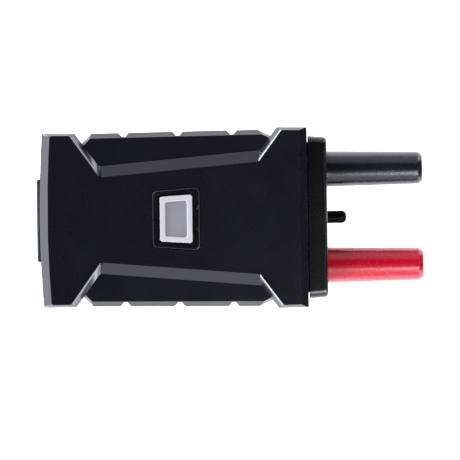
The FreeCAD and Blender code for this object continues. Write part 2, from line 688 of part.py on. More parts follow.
def plug_shroud(side):
    """Insulating sleeve of one plug: tapered outside, bored for the socket, flanged inside."""
    bore_end = X_TIP - SHROUD_BORE_DEPTH
    lip = SHROUD_BORE_RADIUS + SHROUD_TIP_WALL
    pin_bore = PIN_RADIUS + PIN_CLEARANCE
    back = X_LUG_FRONT
    return turned([
        (back, pin_bore), (back, SHROUD_FLANGE_RADIUS),
        (X_COLLAR_BACK, SHROUD_FLANGE_RADIUS), (X_COLLAR_BACK, SHROUD_ROOT_RADIUS),
        (X_COLLAR, SHROUD_ROOT_RADIUS), (X_TIP - SHROUD_TIP_CHAMFER, SHROUD_TIP_RADIUS),
        (X_TIP, lip), (X_TIP, SHROUD_BORE_RADIUS), (bore_end, SHROUD_BORE_RADIUS), (bore_end, pin_bore),
    ], side * PLUG_PITCH / 2)


def pin_stations():
    """X of the pin's nose seat, its head's back, and the two ends of the cage groove."""
    nose_seat = X_TIP - PIN_RECESS - PIN_NOSE_LENGTH
    head_back = nose_seat - PIN_HEAD_LENGTH
    return nose_seat, head_back, head_back - CAGE_LENGTH


def contact_pin(side):
    """4 mm metal pin with a groove for the lamella cage and a tail for the nut."""
    nose_seat, head_back, groove_back = pin_stations()
    back = X_LUG_FRONT - PIN_TAIL
    collar = X_TIP - SHROUD_BORE_DEPTH
    groove = PIN_RADIUS - CAGE_GROOVE
    return turned([
        (back, 0), (back, PIN_RADIUS), (collar, PIN_RADIUS),
        (collar, SHROUD_BORE_RADIUS - PIN_CLEARANCE),
        (collar + PIN_COLLAR_THICKNESS, SHROUD_BORE_RADIUS - PIN_CLEARANCE),
        (collar + PIN_COLLAR_THICKNESS, PIN_RADIUS), (groove_back, PIN_RADIUS), (groove_back, groove),
        (head_back, groove), (head_back, PIN_RADIUS), (nose_seat, PIN_RADIUS), (nose_seat, 0),
    ], side * PLUG_PITCH / 2)


def pin_nose(side):
    """Insulating dome on the end of a contact pin."""
    nose_seat = pin_stations()[0]
    waist = nose_seat + PIN_NOSE_LENGTH / 2
    return turned([(nose_seat, 0), (nose_seat, PIN_RADIUS - PIN_CLEARANCE), (waist, PIN_NOSE_RADIUS),
                   (nose_seat + PIN_NOSE_LENGTH, PIN_NOSE_RADIUS / 2), (nose_seat + PIN_NOSE_LENGTH, 0)],
                  side * PLUG_PITCH / 2)


def spring_cage(side):
    """Sprung lamella basket in the pin's groove, slotted between its end rings."""
    head_back, groove_back = pin_stations()[1:]
    inner = PIN_RADIUS - CAGE_GROOVE + THREAD_CLEARANCE
    outer = inner + CAGE_THICKNESS
    middle = (head_back + groove_back) / 2
    ring_low = groove_back + CAGE_RING
    ring_high = head_back - CAGE_RING
    basket = turned([
        (groove_back, inner), (groove_back, outer), (ring_low, outer), (middle, outer + CAGE_BULGE),
        (ring_high, outer), (head_back, outer), (head_back, inner), (ring_high, inner),
        (middle, inner + CAGE_BULGE), (ring_low, inner),
    ], side * PLUG_PITCH / 2)
    centre = FreeCAD.Vector(0, side * PLUG_PITCH / 2, AXIS_Z)
    slots = []
    for index in range(CAGE_SLOTS):
        slot = box(ring_low, ring_high, centre.y - CAGE_SLOT_WIDTH / 2, centre.y + CAGE_SLOT_WIDTH / 2,
                   AXIS_Z, AXIS_Z + PIN_RADIUS * 2)
        slot.rotate(centre, FreeCAD.Vector(1, 0, 0), index * 360 / CAGE_SLOTS)
        slots.append(slot)
    return basket.cut(slots)


def contact_lug(side):
    """Ring terminal under the nut, with a blade that runs back to the board."""
    y = side * PLUG_PITCH / 2
    front = X_LUG_FRONT
    back = front - LUG_THICKNESS
    foot_front = X_BOARD_FRONT - BOARD_GAP
    blade_low, blade_high = sorted((side * LUG_BLADE_Y, side * (LUG_BLADE_Y + LUG_THICKNESS)))
    arm_low, arm_high = sorted((side * LUG_BLADE_Y, y))
    z_low = AXIS_Z - LUG_BLADE_HEIGHT / 2
    z_high = AXIS_Z + LUG_BLADE_HEIGHT / 2
    ring = cylinder_x(LUG_RADIUS, back, front, y)
    arm = box(back, front, arm_low, arm_high, z_low, z_high)
    blade = box(foot_front - LUG_FOOT_LENGTH, front, blade_low, blade_high, z_low, z_high)
    foot = box(foot_front - LUG_FOOT_LENGTH, foot_front, blade_low, blade_high, BOARD_TOP, z_high)
    hole = cylinder_x(PIN_RADIUS + PIN_CLEARANCE, back - WALL, front + WALL, y)
    return joined([ring, arm, blade, foot]).cut(hole)


def plug_nuts():
    """Two hexagon nuts that clamp the pins, flats towards the side walls."""
    back = X_NUT_BACK
    corner = NUT_CORNER_RADIUS
    nuts = []
    for side in PLUG_SIDES.values():
        y = side * PLUG_PITCH / 2
        points = []
        for index in range(6):
            angle = math.pi / 6 + index * math.pi / 3
            across, up = corner * math.cos(angle), corner * math.sin(angle)
            points.append(FreeCAD.Vector(back, y + across, AXIS_Z + up))
        hexagon = Part.Face(Part.makePolygon(points + points[:1]))
        nut = hexagon.extrude(FreeCAD.Vector(NUT_THICKNESS, 0, 0))
        nuts.append(nut.cut(cylinder_x(PIN_RADIUS + THREAD_CLEARANCE, back, back + NUT_THICKNESS, y)))
    return Part.makeCompound(nuts)


def guide_radius():
    """Outer radius of the plunger's guide bush."""
    return PLUNGER_RADIUS + GUIDE_CLEARANCE + GUIDE_WALL


def seal_middle():
    """X of the plunger seal's middle."""
    return X_COLLAR - SEAL_FROM_FACE


def plunger_guide():
    """Flanged bush in the collar, with an inner groove for the seal."""
    bore = PLUNGER_RADIUS + GUIDE_CLEARANCE
    body = cylinder_x(guide_radius(), X_COLLAR_BACK, X_COLLAR)
    flange = cylinder_x(guide_radius() + GUIDE_FLANGE, X_SHOULDER, X_COLLAR_BACK)
    groove_half = SEAL_WIRE_RADIUS + GUIDE_CLEARANCE
    groove_radius = bore + 2 * SEAL_WIRE_RADIUS + GUIDE_CLEARANCE
    groove = cylinder_x(groove_radius, seal_middle() - groove_half, seal_middle() + groove_half)
    hole = cylinder_x(bore, X_SHOULDER, X_COLLAR)
    return joined([body, flange]).cut([hole, groove])


def plunger_seal():
    """O-ring that wipes the plunger."""
    ring_radius = PLUNGER_RADIUS + GUIDE_CLEARANCE + SEAL_WIRE_RADIUS
    centre = FreeCAD.Vector(seal_middle(), 0, AXIS_Z)
    return Part.makeTorus(ring_radius, SEAL_WIRE_RADIUS, centre, FreeCAD.Vector(1, 0, 0))


def presence_plunger():
    """Sprung pin that an instrument's panel pushes in, with a shoulder and a thin tail."""
    rod = cylinder_x(PLUNGER_RADIUS, X_SHOULDER, X_COLLAR + PLUNGER_REACH)
    tip = [edge for edge in rod.Edges if abs(edge.CenterOfMass.x - X_COLLAR - PLUNGER_REACH) < TAIL_RADIUS]
    rod = rod.makeFillet(PLUNGER_TIP_ROUND, tip)
    shoulder = cylinder_x(PLUNGER_RADIUS + PLUNGER_SHOULDER, X_SPRING_FRONT, X_SHOULDER)
    tail = cylinder_x(TAIL_RADIUS, X_SPRING_FRONT - TAIL_LENGTH, X_SPRING_FRONT)
    return joined([rod, shoulder, tail])


def plunger_spring():
    """Room of the compression spring, as a sleeve of its outer and inner diameter."""
    front = X_BRACKET + SPRING_LENGTH
    sleeve = cylinder_x(SPRING_RADIUS + SPRING_WIRE_RADIUS, X_BRACKET, front)
    return sleeve.cut(cylinder_x(SPRING_RADIUS - SPRING_WIRE_RADIUS, X_BRACKET, front))


def plunger_bracket():
    """Upright plate on the board that the spring stands on."""
    plate = box(X_BRACKET - BRACKET_THICKNESS, X_BRACKET, -BRACKET_HALF_WIDTH, BRACKET_HALF_WIDTH,
                BOARD_TOP, AXIS_Z + BRACKET_ABOVE_AXIS)
    hole = cylinder_x(TAIL_RADIUS + PIN_CLEARANCE, X_BRACKET - BRACKET_THICKNESS, X_BRACKET)
    return plate.cut(hole)


def plunger_sensor():
    """Slotted light gate that the plunger's tail enters."""
    front = X_BRACKET - BRACKET_THICKNESS - SENSOR_GAP
    body = box(front - SENSOR_LENGTH, front, -SENSOR_HALF_WIDTH, SENSOR_HALF_WIDTH,
               BOARD_TOP, AXIS_Z + SENSOR_ABOVE_AXIS)
    slot = box(front - SENSOR_LENGTH, front, -SENSOR_SLOT_HALF_WIDTH, SENSOR_SLOT_HALF_WIDTH,
               AXIS_Z - SENSOR_SLOT_BELOW_AXIS, AXIS_Z + SENSOR_ABOVE_AXIS)
    return body.cut(slot)


def button_surround():
    """Inlaid frame round the window button, dished towards it in flat facets."""
    block = surround_block(0, SURROUND_UNDER, HOUSING_HEIGHT)
    outline = trapezoid(SURROUND_LENGTH, SURROUND_REAR_HALF_WIDTH, SURROUND_FRONT_HALF_WIDTH)
    land = offset_outline(outline, [SURROUND_LAND] * len(outline))
    floor = offset_outline(outline, [SURROUND_LAND + SURROUND_SLOPE] * len(outline))
    dish = stacked_solid([(HOUSING_HEIGHT - SURROUND_DISH, floor), (HOUSING_HEIGHT, land)])
    hole = button_block(BUTTON_CLEARANCE, SURROUND_UNDER, HOUSING_HEIGHT)
    return block.cut([dish, hole])


def button_bottom():
    """Height of the button's foot, where it meets the switch stem."""
    return BOARD_TOP + SWITCH_HEIGHT + STEM_HEIGHT


def lens_button():
    """Frosted window button with a raised rim, a retaining flange and a foot."""
    flange_low = SURROUND_UNDER - BUTTON_FLANGE_THICKNESS
    cap = button_block(0, SURROUND_UNDER, HOUSING_HEIGHT + BUTTON_PROUD)
    flange = button_block(BUTTON_FLANGE, flange_low, SURROUND_UNDER)
    foot = centred_box(BUTTON_X, 0, 2 * BUTTON_ROD_HALF, 2 * BUTTON_ROD_HALF,
                       button_bottom(), flange_low - button_bottom())
    top = HOUSING_HEIGHT + BUTTON_PROUD
    window = rounded_block(window_outline(), top - WINDOW_SINK, top, BUTTON_CORNER)
    return joined([cap, flange, foot]).cut(window)


def window_outline():
    """Outline of the sunken window, inside the button's rim."""
    points = trapezoid(BUTTON_LENGTH, BUTTON_REAR_HALF_WIDTH, BUTTON_FRONT_HALF_WIDTH)
    return offset_outline(points, [BUTTON_RIM] * len(points))


def tact_switch_body():
    """Board switch under the button."""
    body = centred_box(BUTTON_X, 0, SWITCH_SIZE, SWITCH_SIZE, BOARD_TOP, SWITCH_HEIGHT)
    top = BOARD_TOP + SWITCH_HEIGHT
    well_depth = STEM_DEPTH + BUTTON_TRAVEL + STEM_CLEARANCE
    well = cylinder_z(STEM_RADIUS + STEM_CLEARANCE, top - well_depth, top, BUTTON_X, 0)
    return body.cut(well)


def tact_switch_stem():
    """Plunger of the board switch, pressed by the button's foot."""
    top = BOARD_TOP + SWITCH_HEIGHT
    return cylinder_z(STEM_RADIUS, top - STEM_DEPTH, top + STEM_HEIGHT, BUTTON_X, 0)


def led_places():
    """Plan positions of the two lights under the light guide's walls."""
    offset = GUIDE_TUBE_HALF - GUIDE_TUBE_WALL / 2
    return [(BUTTON_X + step, 0) for step in (-offset, offset)]


def status_leds():
    """Two chip LEDs on the board."""
    leds = [centred_box(x, y, LED_WIDTH, LED_LENGTH, BOARD_TOP, LED_HEIGHT) for x, y in led_places()]
    return Part.makeCompound(leds)


def light_guide():
    """Clear square tube that carries the lights up to the window, round the switch."""
    top = SURROUND_UNDER - BUTTON_FLANGE_THICKNESS - BUTTON_TRAVEL - GUIDE_TUBE_GAP
    height = top - BOARD_TOP
    outer = 2 * GUIDE_TUBE_HALF
    inner = outer - 2 * GUIDE_TUBE_WALL
    tube = centred_box(BUTTON_X, 0, outer, outer, BOARD_TOP, height)
    bore = centred_box(BUTTON_X, 0, inner, inner, BOARD_TOP, height)
    pockets = [centred_box(x, y, GUIDE_TUBE_WALL * 2, LED_LENGTH + 2 * LED_CLEARANCE, BOARD_TOP,
                           LED_HEIGHT + LED_CLEARANCE) for x, y in led_places()]
    return tube.cut([bore] + pockets)


def main_board():
    """Circuit board with a narrow tail for the port and clearance for bosses and screws."""
    shoulder = X_BOARD_SHOULDER
    wide = box(shoulder, X_BOARD_FRONT, -BOARD_HALF_WIDTH, BOARD_HALF_WIDTH, BOARD_UNDER, BOARD_TOP)
    tail = box(X_BOARD_REAR, shoulder, -BOARD_TAIL_HALF_WIDTH, BOARD_TAIL_HALF_WIDTH, BOARD_UNDER, BOARD_TOP)
    holes = [cylinder_z(BOSS_RADIUS + BOSS_CLEARANCE, BOARD_UNDER, BOARD_TOP, x, y)
             for x, y in screw_places()]
    holes += [cylinder_z(BOARD_SCREW_RADIUS + SCREW_CLEARANCE, BOARD_UNDER, BOARD_TOP, x, y)
              for x, y in board_screw_places()]
    return joined([wide, tail]).cut(holes)


def pan_screw(x, y, seat, shank_end, radius, head_radius, head_height, up):
    """Screw with a round head; its shank runs from the seat to shank_end."""
    head_z = seat if up else seat - head_height
    head = cylinder_z(head_radius, head_z, head_z + head_height, x, y)
    shank = cylinder_z(radius, min(seat, shank_end), max(seat, shank_end), x, y)
    drive_z = head_z + head_height - SCREW_SOCKET_DEPTH if up else head_z
    socket_radius = min(SCREW_SOCKET_RADIUS, head_radius / 2)
    socket = cylinder_z(socket_radius, drive_z, drive_z + SCREW_SOCKET_DEPTH, x, y)
    return joined([head, shank]).cut(socket)


def housing_screws():
    """Four screws driven from the underside into the top shell's bosses."""
    seat = SCREW_HEAD_SINK + SCREW_HEAD_HEIGHT
    screws = [pan_screw(x, y, seat, seat + SCREW_LENGTH, SCREW_RADIUS, SCREW_HEAD_RADIUS,
                        SCREW_HEAD_HEIGHT, False) for x, y in screw_places()]
    return Part.makeCompound(screws)


def board_screws():
    """Four small screws that hold the board to its posts."""
    end = BOARD_UNDER - BOARD_SCREW_GRIP + SCREW_CLEARANCE
    screws = [pan_screw(x, y, BOARD_TOP, end, BOARD_SCREW_RADIUS, BOARD_SCREW_HEAD_RADIUS,
                        BOARD_SCREW_HEAD_HEIGHT, True) for x, y in board_screw_places()]
    return Part.makeCompound(screws)


def controller_chip():
    """Controller package."""
    x = X_REAR + CONTROLLER_FROM_REAR
    return centred_box(x, CONTROLLER_Y, CONTROLLER_SIZE, CONTROLLER_SIZE, BOARD_TOP, CHIP_HEIGHT)


def signal_chip():
    """Sampling logic package, beside the controller."""
    x = X_REAR + CONTROLLER_FROM_REAR
    return centred_box(x, SIGNAL_CHIP_Y, SIGNAL_CHIP_SIZE, SIGNAL_CHIP_SIZE, BOARD_TOP, CHIP_HEIGHT)


def memory_chip():
    """Capture memory, beside the light guide."""
    return centred_box(BUTTON_X, MEMORY_Y, MEMORY_LENGTH, MEMORY_WIDTH, BOARD_TOP, CHIP_HEIGHT)


def crystal():
    """Clock crystal in its can."""
    return centred_box(BUTTON_X, CRYSTAL_Y, CRYSTAL_LENGTH, CRYSTAL_WIDTH, BOARD_TOP, CRYSTAL_HEIGHT)


def input_resistors():
    """High-value input resistors behind each plug."""
    x = X_FRONT - RESISTOR_FROM_FRONT
    places = [side * row for row in RESISTOR_ROWS for side in (1, -1)]
    return Part.makeCompound([centred_box(x, y, RESISTOR_LENGTH, RESISTOR_WIDTH, BOARD_TOP, RESISTOR_HEIGHT)
                              for y in places])


def surge_arrestors():
    """One arrestor for each input."""
    x = X_FRONT - ARRESTOR_FROM_FRONT
    return Part.makeCompound([centred_box(x, side * ARRESTOR_Y, ARRESTOR_LENGTH, ARRESTOR_WIDTH,
                                          BOARD_TOP, ARRESTOR_HEIGHT) for side in (1, -1)])


def small_parts():
    """Rows of chip capacitors between the packages and the light guide."""
    first = X_REAR + CONTROLLER_FROM_REAR + CONTROLLER_SIZE / 2 + SMALL_PART_LENGTH
    start_y = -SMALL_PART_PITCH * (SMALL_PART_COUNT - 1) / 2
    rows = [start_y + index * SMALL_PART_PITCH for index in range(SMALL_PART_COUNT)]
    return Part.makeCompound([centred_box(first, y, SMALL_PART_LENGTH, SMALL_PART_WIDTH,
                                          BOARD_TOP, SMALL_PART_HEIGHT) for y in rows])


def rear_panel():
    """Insert in the rear wall: a pocket for the door, holes for its pin and the port's opening."""
    insert = box(X_REAR + PANEL_SINK, X_PANEL_BACK, -PANEL_HALF_WIDTH, PANEL_HALF_WIDTH,
                 AXIS_Z - PANEL_HALF_HEIGHT, AXIS_Z + PANEL_HALF_HEIGHT)
    flange_y = PANEL_HALF_WIDTH + PANEL_FLANGE
    flange_z = PANEL_HALF_HEIGHT + PANEL_FLANGE
    flange = box(X_PANEL_BACK, X_PANEL_END, -flange_y, flange_y, AXIS_Z - flange_z, AXIS_Z + flange_z)
    pocket_y = DOOR_HALF_WIDTH + DOOR_CLEARANCE
    pocket_end = DOOR_AXIS_X + DOOR_KNUCKLE_RADIUS + DOOR_CLEARANCE
    pocket = box(X_REAR, pocket_end, -pocket_y, pocket_y, AXIS_Z - DOOR_HALF_HEIGHT - DOOR_CLEARANCE,
                 AXIS_Z + DOOR_HALF_HEIGHT + DOOR_CLEARANCE)
    reach = DOOR_HALF_WIDTH + DOOR_PIN_GRIP
    pin_hole = cylinder_y(DOOR_PIN_RADIUS + THREAD_CLEARANCE, -reach, reach, DOOR_AXIS_X, DOOR_AXIS_Z)
    port_y = SOCKET_HALF_WIDTH + SOCKET_CLEARANCE
    port = box(X_REAR, X_PANEL_END, -port_y, port_y, BOARD_TOP - SOCKET_CLEARANCE,
               BOARD_TOP + SOCKET_HEIGHT + SOCKET_CLEARANCE)
    return joined([insert, flange]).cut([pocket, pin_hole, port])


def port_door():
    """Door over the port: a plate with rounded ends on a full-width knuckle at its foot."""
    plate = box(X_REAR - DOOR_PROUD, X_REAR - DOOR_PROUD + DOOR_THICKNESS,
                -DOOR_HALF_WIDTH, DOOR_HALF_WIDTH, DOOR_AXIS_Z, AXIS_Z + DOOR_HALF_HEIGHT)
    top = AXIS_Z + DOOR_HALF_HEIGHT
    outer = [edge for edge in plate.Edges
             if edge.CenterOfMass.x < X_REAR - DOOR_PROUD / 2 and edge.CenterOfMass.z > DOOR_AXIS_Z + WALL]
    plate = plate.makeFillet(DOOR_CORNER, outer)
    knuckle = cylinder_y(DOOR_KNUCKLE_RADIUS, -DOOR_HALF_WIDTH, DOOR_HALF_WIDTH, DOOR_AXIS_X, DOOR_AXIS_Z)
    bore = cylinder_y(DOOR_PIN_RADIUS + DOOR_PIN_CLEARANCE, -DOOR_HALF_WIDTH, DOOR_HALF_WIDTH,
                      DOOR_AXIS_X, DOOR_AXIS_Z)
    groove = cylinder_y(DOOR_GROOVE_RADIUS, -DOOR_GROOVE_HALF_LENGTH, DOOR_GROOVE_HALF_LENGTH,
                        X_REAR - DOOR_PROUD, top - WALL)
    return joined([plate, knuckle]).cut([bore, groove])


def port_door_pin():
    """Hinge pin of the port door."""
    reach = DOOR_HALF_WIDTH + DOOR_PIN_GRIP
    return cylinder_y(DOOR_PIN_RADIUS, -reach, reach, DOOR_AXIS_X, DOOR_AXIS_Z)


def socket_front():
    """X of the port socket's mouth, just behind the closed door's pocket."""
    return DOOR_AXIS_X + DOOR_KNUCKLE_RADIUS + DOOR_CLEARANCE


def socket_form(inset, x_low, x_high):
    """Block with fully rounded sides, as the port's shell has."""
    half_height = SOCKET_HEIGHT / 2 - inset
    half_width = SOCKET_HALF_WIDTH - inset
    z = BOARD_TOP + SOCKET_HEIGHT / 2
    flat = half_width - half_height
    middle = box(x_low, x_high, -flat, flat, z - half_height, z + half_height)
    ends = [cylinder_x(half_height, x_low, x_high, side * flat, z) for side in (1, -1)]
    return middle.fuse(ends).removeSplitter()


def usb_socket_shell():
    """Metal shell of the port, open to the rear."""
    back = socket_front() + SOCKET_LENGTH
    shell = socket_form(0, socket_front(), back)
    return shell.cut(socket_form(SOCKET_WALL, socket_front(), back - SOCKET_WALL))


def usb_tongue():
    """Insulator of the port: a block at the back with a thin tongue."""
    back = socket_front() + SOCKET_LENGTH - SOCKET_WALL
    root = socket_form(SOCKET_WALL, back - TONGUE_ROOT, back)
    z = BOARD_TOP + SOCKET_HEIGHT / 2
    tongue = box(back - TONGUE_ROOT - TONGUE_REACH, back - TONGUE_ROOT, -TONGUE_HALF, TONGUE_HALF,
                 z - TONGUE_THICKNESS / 2, z + TONGUE_THICKNESS / 2)
    return joined([root, tongue])


def usb_contacts():
    """Contact strips on both faces of the tongue."""
    back = socket_front() + SOCKET_LENGTH - SOCKET_WALL - TONGUE_ROOT
    z = BOARD_TOP + SOCKET_HEIGHT / 2
    strips = []
    for index in range(CONTACT_COUNT):
        y = (index - (CONTACT_COUNT - 1) / 2) * CONTACT_PITCH
        for level in (z + TONGUE_THICKNESS / 2, z - TONGUE_THICKNESS / 2 - CONTACT_THICKNESS):
            strips.append(box(back - CONTACT_REACH, back, y - CONTACT_WIDTH / 2, y + CONTACT_WIDTH / 2,
                              level, level + CONTACT_THICKNESS))
    return Part.makeCompound(strips)


def battery_span():
    """X of the battery's two ends."""
    rear = X_REAR + BATTERY_FROM_REAR
    return rear, rear + BATTERY_LENGTH


def battery_cell():
    """Flat cell under the board."""
    rear, front = battery_span()
    z_low = WALL + BATTERY_PAD_HEIGHT
    cell = box(rear, front, -BATTERY_HALF_WIDTH, BATTERY_HALF_WIDTH, z_low, z_low + BATTERY_THICKNESS)
    upper = [edge for edge in cell.Edges if edge.CenterOfMass.z > z_low + BATTERY_EDGE]
    return cell.makeFillet(BATTERY_EDGE, upper)


def battery_pad():
    """Foam strip that the cell is stuck down on."""
    rear, front = battery_span()
    return box(rear, front, -BATTERY_HALF_WIDTH + BATTERY_EDGE, BATTERY_HALF_WIDTH - BATTERY_EDGE,
               WALL, WALL + BATTERY_PAD_HEIGHT)


def battery_tabs():
    """Two tabs from the cell's front end up to the board."""
    front = battery_span()[1]
    z_low = WALL + BATTERY_PAD_HEIGHT + BATTERY_EDGE
    return Part.makeCompound([centred_box(front + TAB_THICKNESS / 2, side * TAB_Y, TAB_THICKNESS, TAB_WIDTH,
                                          z_low, BOARD_UNDER - z_low) for side in (1, -1)])


def all_pieces():
    """Every node's name and shape."""
    pieces = {
        "top_shell": top_shell(),
        "bottom_shell": bottom_shell(),
        "housing_gasket": housing_gasket(),
        "housing_screws": housing_screws(),
        "front_collar": front_collar(),
        "plug_nuts": plug_nuts(),
        "presence_plunger": presence_plunger(),
        "plunger_guide": plunger_guide(),
        "plunger_seal": plunger_seal(),
        "plunger_spring": plunger_spring(),
        "plunger_bracket": plunger_bracket(),
        "plunger_sensor": plunger_sensor(),
        "button_surround": button_surround(),
        "lens_button": lens_button(),
        "tact_switch_body": tact_switch_body(),
        "tact_switch_stem": tact_switch_stem(),
        "status_leds": status_leds(),
        "light_guide": light_guide(),
        "main_board": main_board(),
        "board_screws": board_screws(),
        "controller_chip": controller_chip(),
        "signal_chip": signal_chip(),
        "memory_chip": memory_chip(),
        "crystal": crystal(),
        "input_resistors": input_resistors(),
        "surge_arrestors": surge_arrestors(),
        "small_parts": small_parts(),
        "rear_panel": rear_panel(),
        "port_door": port_door(),
        "port_door_pin": port_door_pin(),
        "usb_socket_shell": usb_socket_shell(),
        "usb_tongue": usb_tongue(),
        "usb_contacts": usb_contacts(),
        "battery_cell": battery_cell(),
        "battery_pad": battery_pad(),
        "battery_tabs": battery_tabs(),
    }
    for name, side in SIDES.items():
        pieces["side_grip_" + name] = side_grip(side)
    for name, side in PLUG_SIDES.items():
        pieces["plug_shroud_" + name] = plug_shroud(side)
        pieces["contact_pin_" + name] = contact_pin(side)
        pieces["pin_nose_" + name] = pin_nose(side)
        pieces["spring_cage_" + name] = spring_cage(side)
        pieces["contact_lug_" + name] = contact_lug(side)
    return pieces


os.makedirs("parts", exist_ok=True)
for node, shape in all_pieces().items():
    shape.exportStep(os.path.join("parts", node + ".step"))
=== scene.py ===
# %% [markdown]
# # A plug-in logic analyzer module
#
# The module is a black moulded box the size of a matchbox. Two shrouded 4 mm plugs and a small
# sprung plunger stand out of its front, notched grips fill its waist, and a frosted window in the
# top face is a push button. The CAD frame already holds every part at its real size, so this
# file is about looks: crisp moulded edges, the grain of each plastic, and the light.

# %% Load the frame
import json
import math

import bmesh
import bpy
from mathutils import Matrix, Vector


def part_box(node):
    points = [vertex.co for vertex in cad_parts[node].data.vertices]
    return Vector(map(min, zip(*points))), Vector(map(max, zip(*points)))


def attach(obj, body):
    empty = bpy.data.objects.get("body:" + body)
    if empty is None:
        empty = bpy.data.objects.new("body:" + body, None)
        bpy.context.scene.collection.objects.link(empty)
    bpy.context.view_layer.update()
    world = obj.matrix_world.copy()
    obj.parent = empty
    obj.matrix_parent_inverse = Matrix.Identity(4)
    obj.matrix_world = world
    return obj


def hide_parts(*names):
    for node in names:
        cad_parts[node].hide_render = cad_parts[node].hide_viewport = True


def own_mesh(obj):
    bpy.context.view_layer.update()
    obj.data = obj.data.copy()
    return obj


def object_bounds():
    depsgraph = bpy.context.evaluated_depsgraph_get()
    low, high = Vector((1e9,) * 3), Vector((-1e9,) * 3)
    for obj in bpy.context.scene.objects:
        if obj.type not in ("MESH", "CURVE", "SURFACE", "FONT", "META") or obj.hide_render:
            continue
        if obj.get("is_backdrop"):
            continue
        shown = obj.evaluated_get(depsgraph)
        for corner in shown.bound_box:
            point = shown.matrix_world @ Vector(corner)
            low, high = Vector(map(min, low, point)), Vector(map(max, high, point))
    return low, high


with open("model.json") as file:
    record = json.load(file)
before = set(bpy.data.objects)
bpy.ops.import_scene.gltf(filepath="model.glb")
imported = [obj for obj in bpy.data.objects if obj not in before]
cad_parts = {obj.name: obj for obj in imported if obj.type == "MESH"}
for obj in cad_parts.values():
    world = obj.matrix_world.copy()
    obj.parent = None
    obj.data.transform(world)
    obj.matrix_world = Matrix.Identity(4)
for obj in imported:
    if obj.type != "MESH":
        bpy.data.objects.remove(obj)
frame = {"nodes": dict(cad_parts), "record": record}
cad_low, cad_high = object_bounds()
MM = 0.001
slot_of = {part["node"]: part["material_slot"] for part in frame["record"]["subparts"]}
bodies = frame["record"]["behaviour"]["bodies"]
body_of = {node: body for body, nodes in bodies.items() for node in nodes}

# %% [markdown]
# ## Camera
#
# A very long lens straight above the module keeps its outline free of perspective. The distance
# follows from the width of the picture at the plugs' height, and a small roll matches how the
# module lies.

# %% Camera
FRAME_WIDTH = 91.1 * MM
CAMERA_X = 0.0
CAMERA_Y = -2.32 * MM
CAMERA_ROLL = math.radians(-0.79)
LENS_MM = 1500.0
SENSOR_MM = 36.0

plug_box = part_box("plug_shroud_black")
plug_height = (plug_box[0].z + plug_box[1].z) / 2
camera_data = bpy.data.cameras.new("overhead_camera")
camera_data.lens = LENS_MM
camera_data.sensor_width = SENSOR_MM
camera = bpy.data.objects.new("overhead_camera", camera_data)
distance = FRAME_WIDTH * LENS_MM / SENSOR_MM
camera.location = (CAMERA_X, CAMERA_Y, plug_height + distance)
camera.rotation_euler = (0.0, 0.0, CAMERA_ROLL)
bpy.context.collection.objects.link(camera)
bpy.context.scene.camera = camera
bpy.context.scene.view_settings.view_transform = "Standard"
print("camera", round(distance, 3), "m above the plugs")

# %% [markdown]
# ## Node sheets
#
# Shaders and geometry trees are both graphs of sockets. `Sheet` makes any node from its type, its
# settings and its inputs. `Value` wraps a socket, so that shader maths can be written as plain
# Python: `1 - mask * 0.3` adds the Math nodes it needs.


# %% Node helpers
class Value:
    """A node's output that can be used in sums."""

    def __init__(self, sheet, socket):
        self.sheet = sheet
        self.socket = socket

    def maths(self, operation, *values):
        inputs = dict(enumerate(values))
        return self.sheet.node("ShaderNodeMath", {"operation": operation}, inputs)

    def __add__(self, other):
        return self.maths("ADD", self, other)

    def __sub__(self, other):
        return self.maths("SUBTRACT", self, other)

    def __mul__(self, other):
        return self.maths("MULTIPLY", self, other)

    def __radd__(self, other):
        return self.maths("ADD", other, self)

    def __rsub__(self, other):
        return self.maths("SUBTRACT", other, self)

    def __rmul__(self, other):
        return self.maths("MULTIPLY", other, self)

    def absolute(self):
        return self.maths("ABSOLUTE", self)

    def step(self, low, high):
        """0 below low, 1 above high, smooth between."""
        inputs = {"Value": self, "From Min": low, "From Max": high}
        return self.sheet.node("ShaderNodeMapRange", {"interpolation_type": "SMOOTHSTEP"}, inputs)


class Sheet:
    """A node tree that is filled from the inputs to the output."""

    def __init__(self, tree):
        self.tree = tree

    def node(self, kind, settings=None, inputs=None, output=0):
        made = self.tree.nodes.new(kind)
        for name, setting in (settings or {}).items():
            if name == "stops":
                self.set_stops(made.color_ramp, setting)
            else:
                setattr(made, name, setting)
        for name, value in (inputs or {}).items():
            if isinstance(value, Value):
                self.tree.links.new(value.socket, made.inputs[name])
            else:
                made.inputs[name].default_value = value
        return Value(self, made.outputs[output]) if made.outputs else None

    @staticmethod
    def set_stops(ramp, stops):
        while len(ramp.elements) < len(stops):
            ramp.elements.new(1.0)
        for element, (place, colour) in zip(ramp.elements, stops):
            element.position = place
            element.color = (*colour, 1.0)

    def split(self, vector):
        """The three parts of a vector."""
        node = self.node("ShaderNodeSeparateXYZ", inputs={0: vector}).socket.node
        return [Value(self, part) for part in node.outputs]

    def colour_mix(self, factor, first, second):
        inputs = {0: factor, 6: first, 7: second}
        return self.node("ShaderNodeMix", {"data_type": "RGBA"}, inputs, 2)


def rgba(colour):
    return (*colour, 1.0)


# %% [markdown]
# ## Light
#
# Black plastic shows what it reflects. The flat faces look at a dark zenith and stay nearly black.
# The bevels and the round plugs look at the horizon, so the room is bright there, most of all
# behind the module's rear end, and dark beyond its plugs. The diagonal bevels look lowest, so the
# room's corners are brighter near the floor, and the middle of the rear wall is quiet there. Such
# a room could be built from lit cards, but a world shader gives smooth edges with no noise. A
# small near lamp lifts one corner of the top.

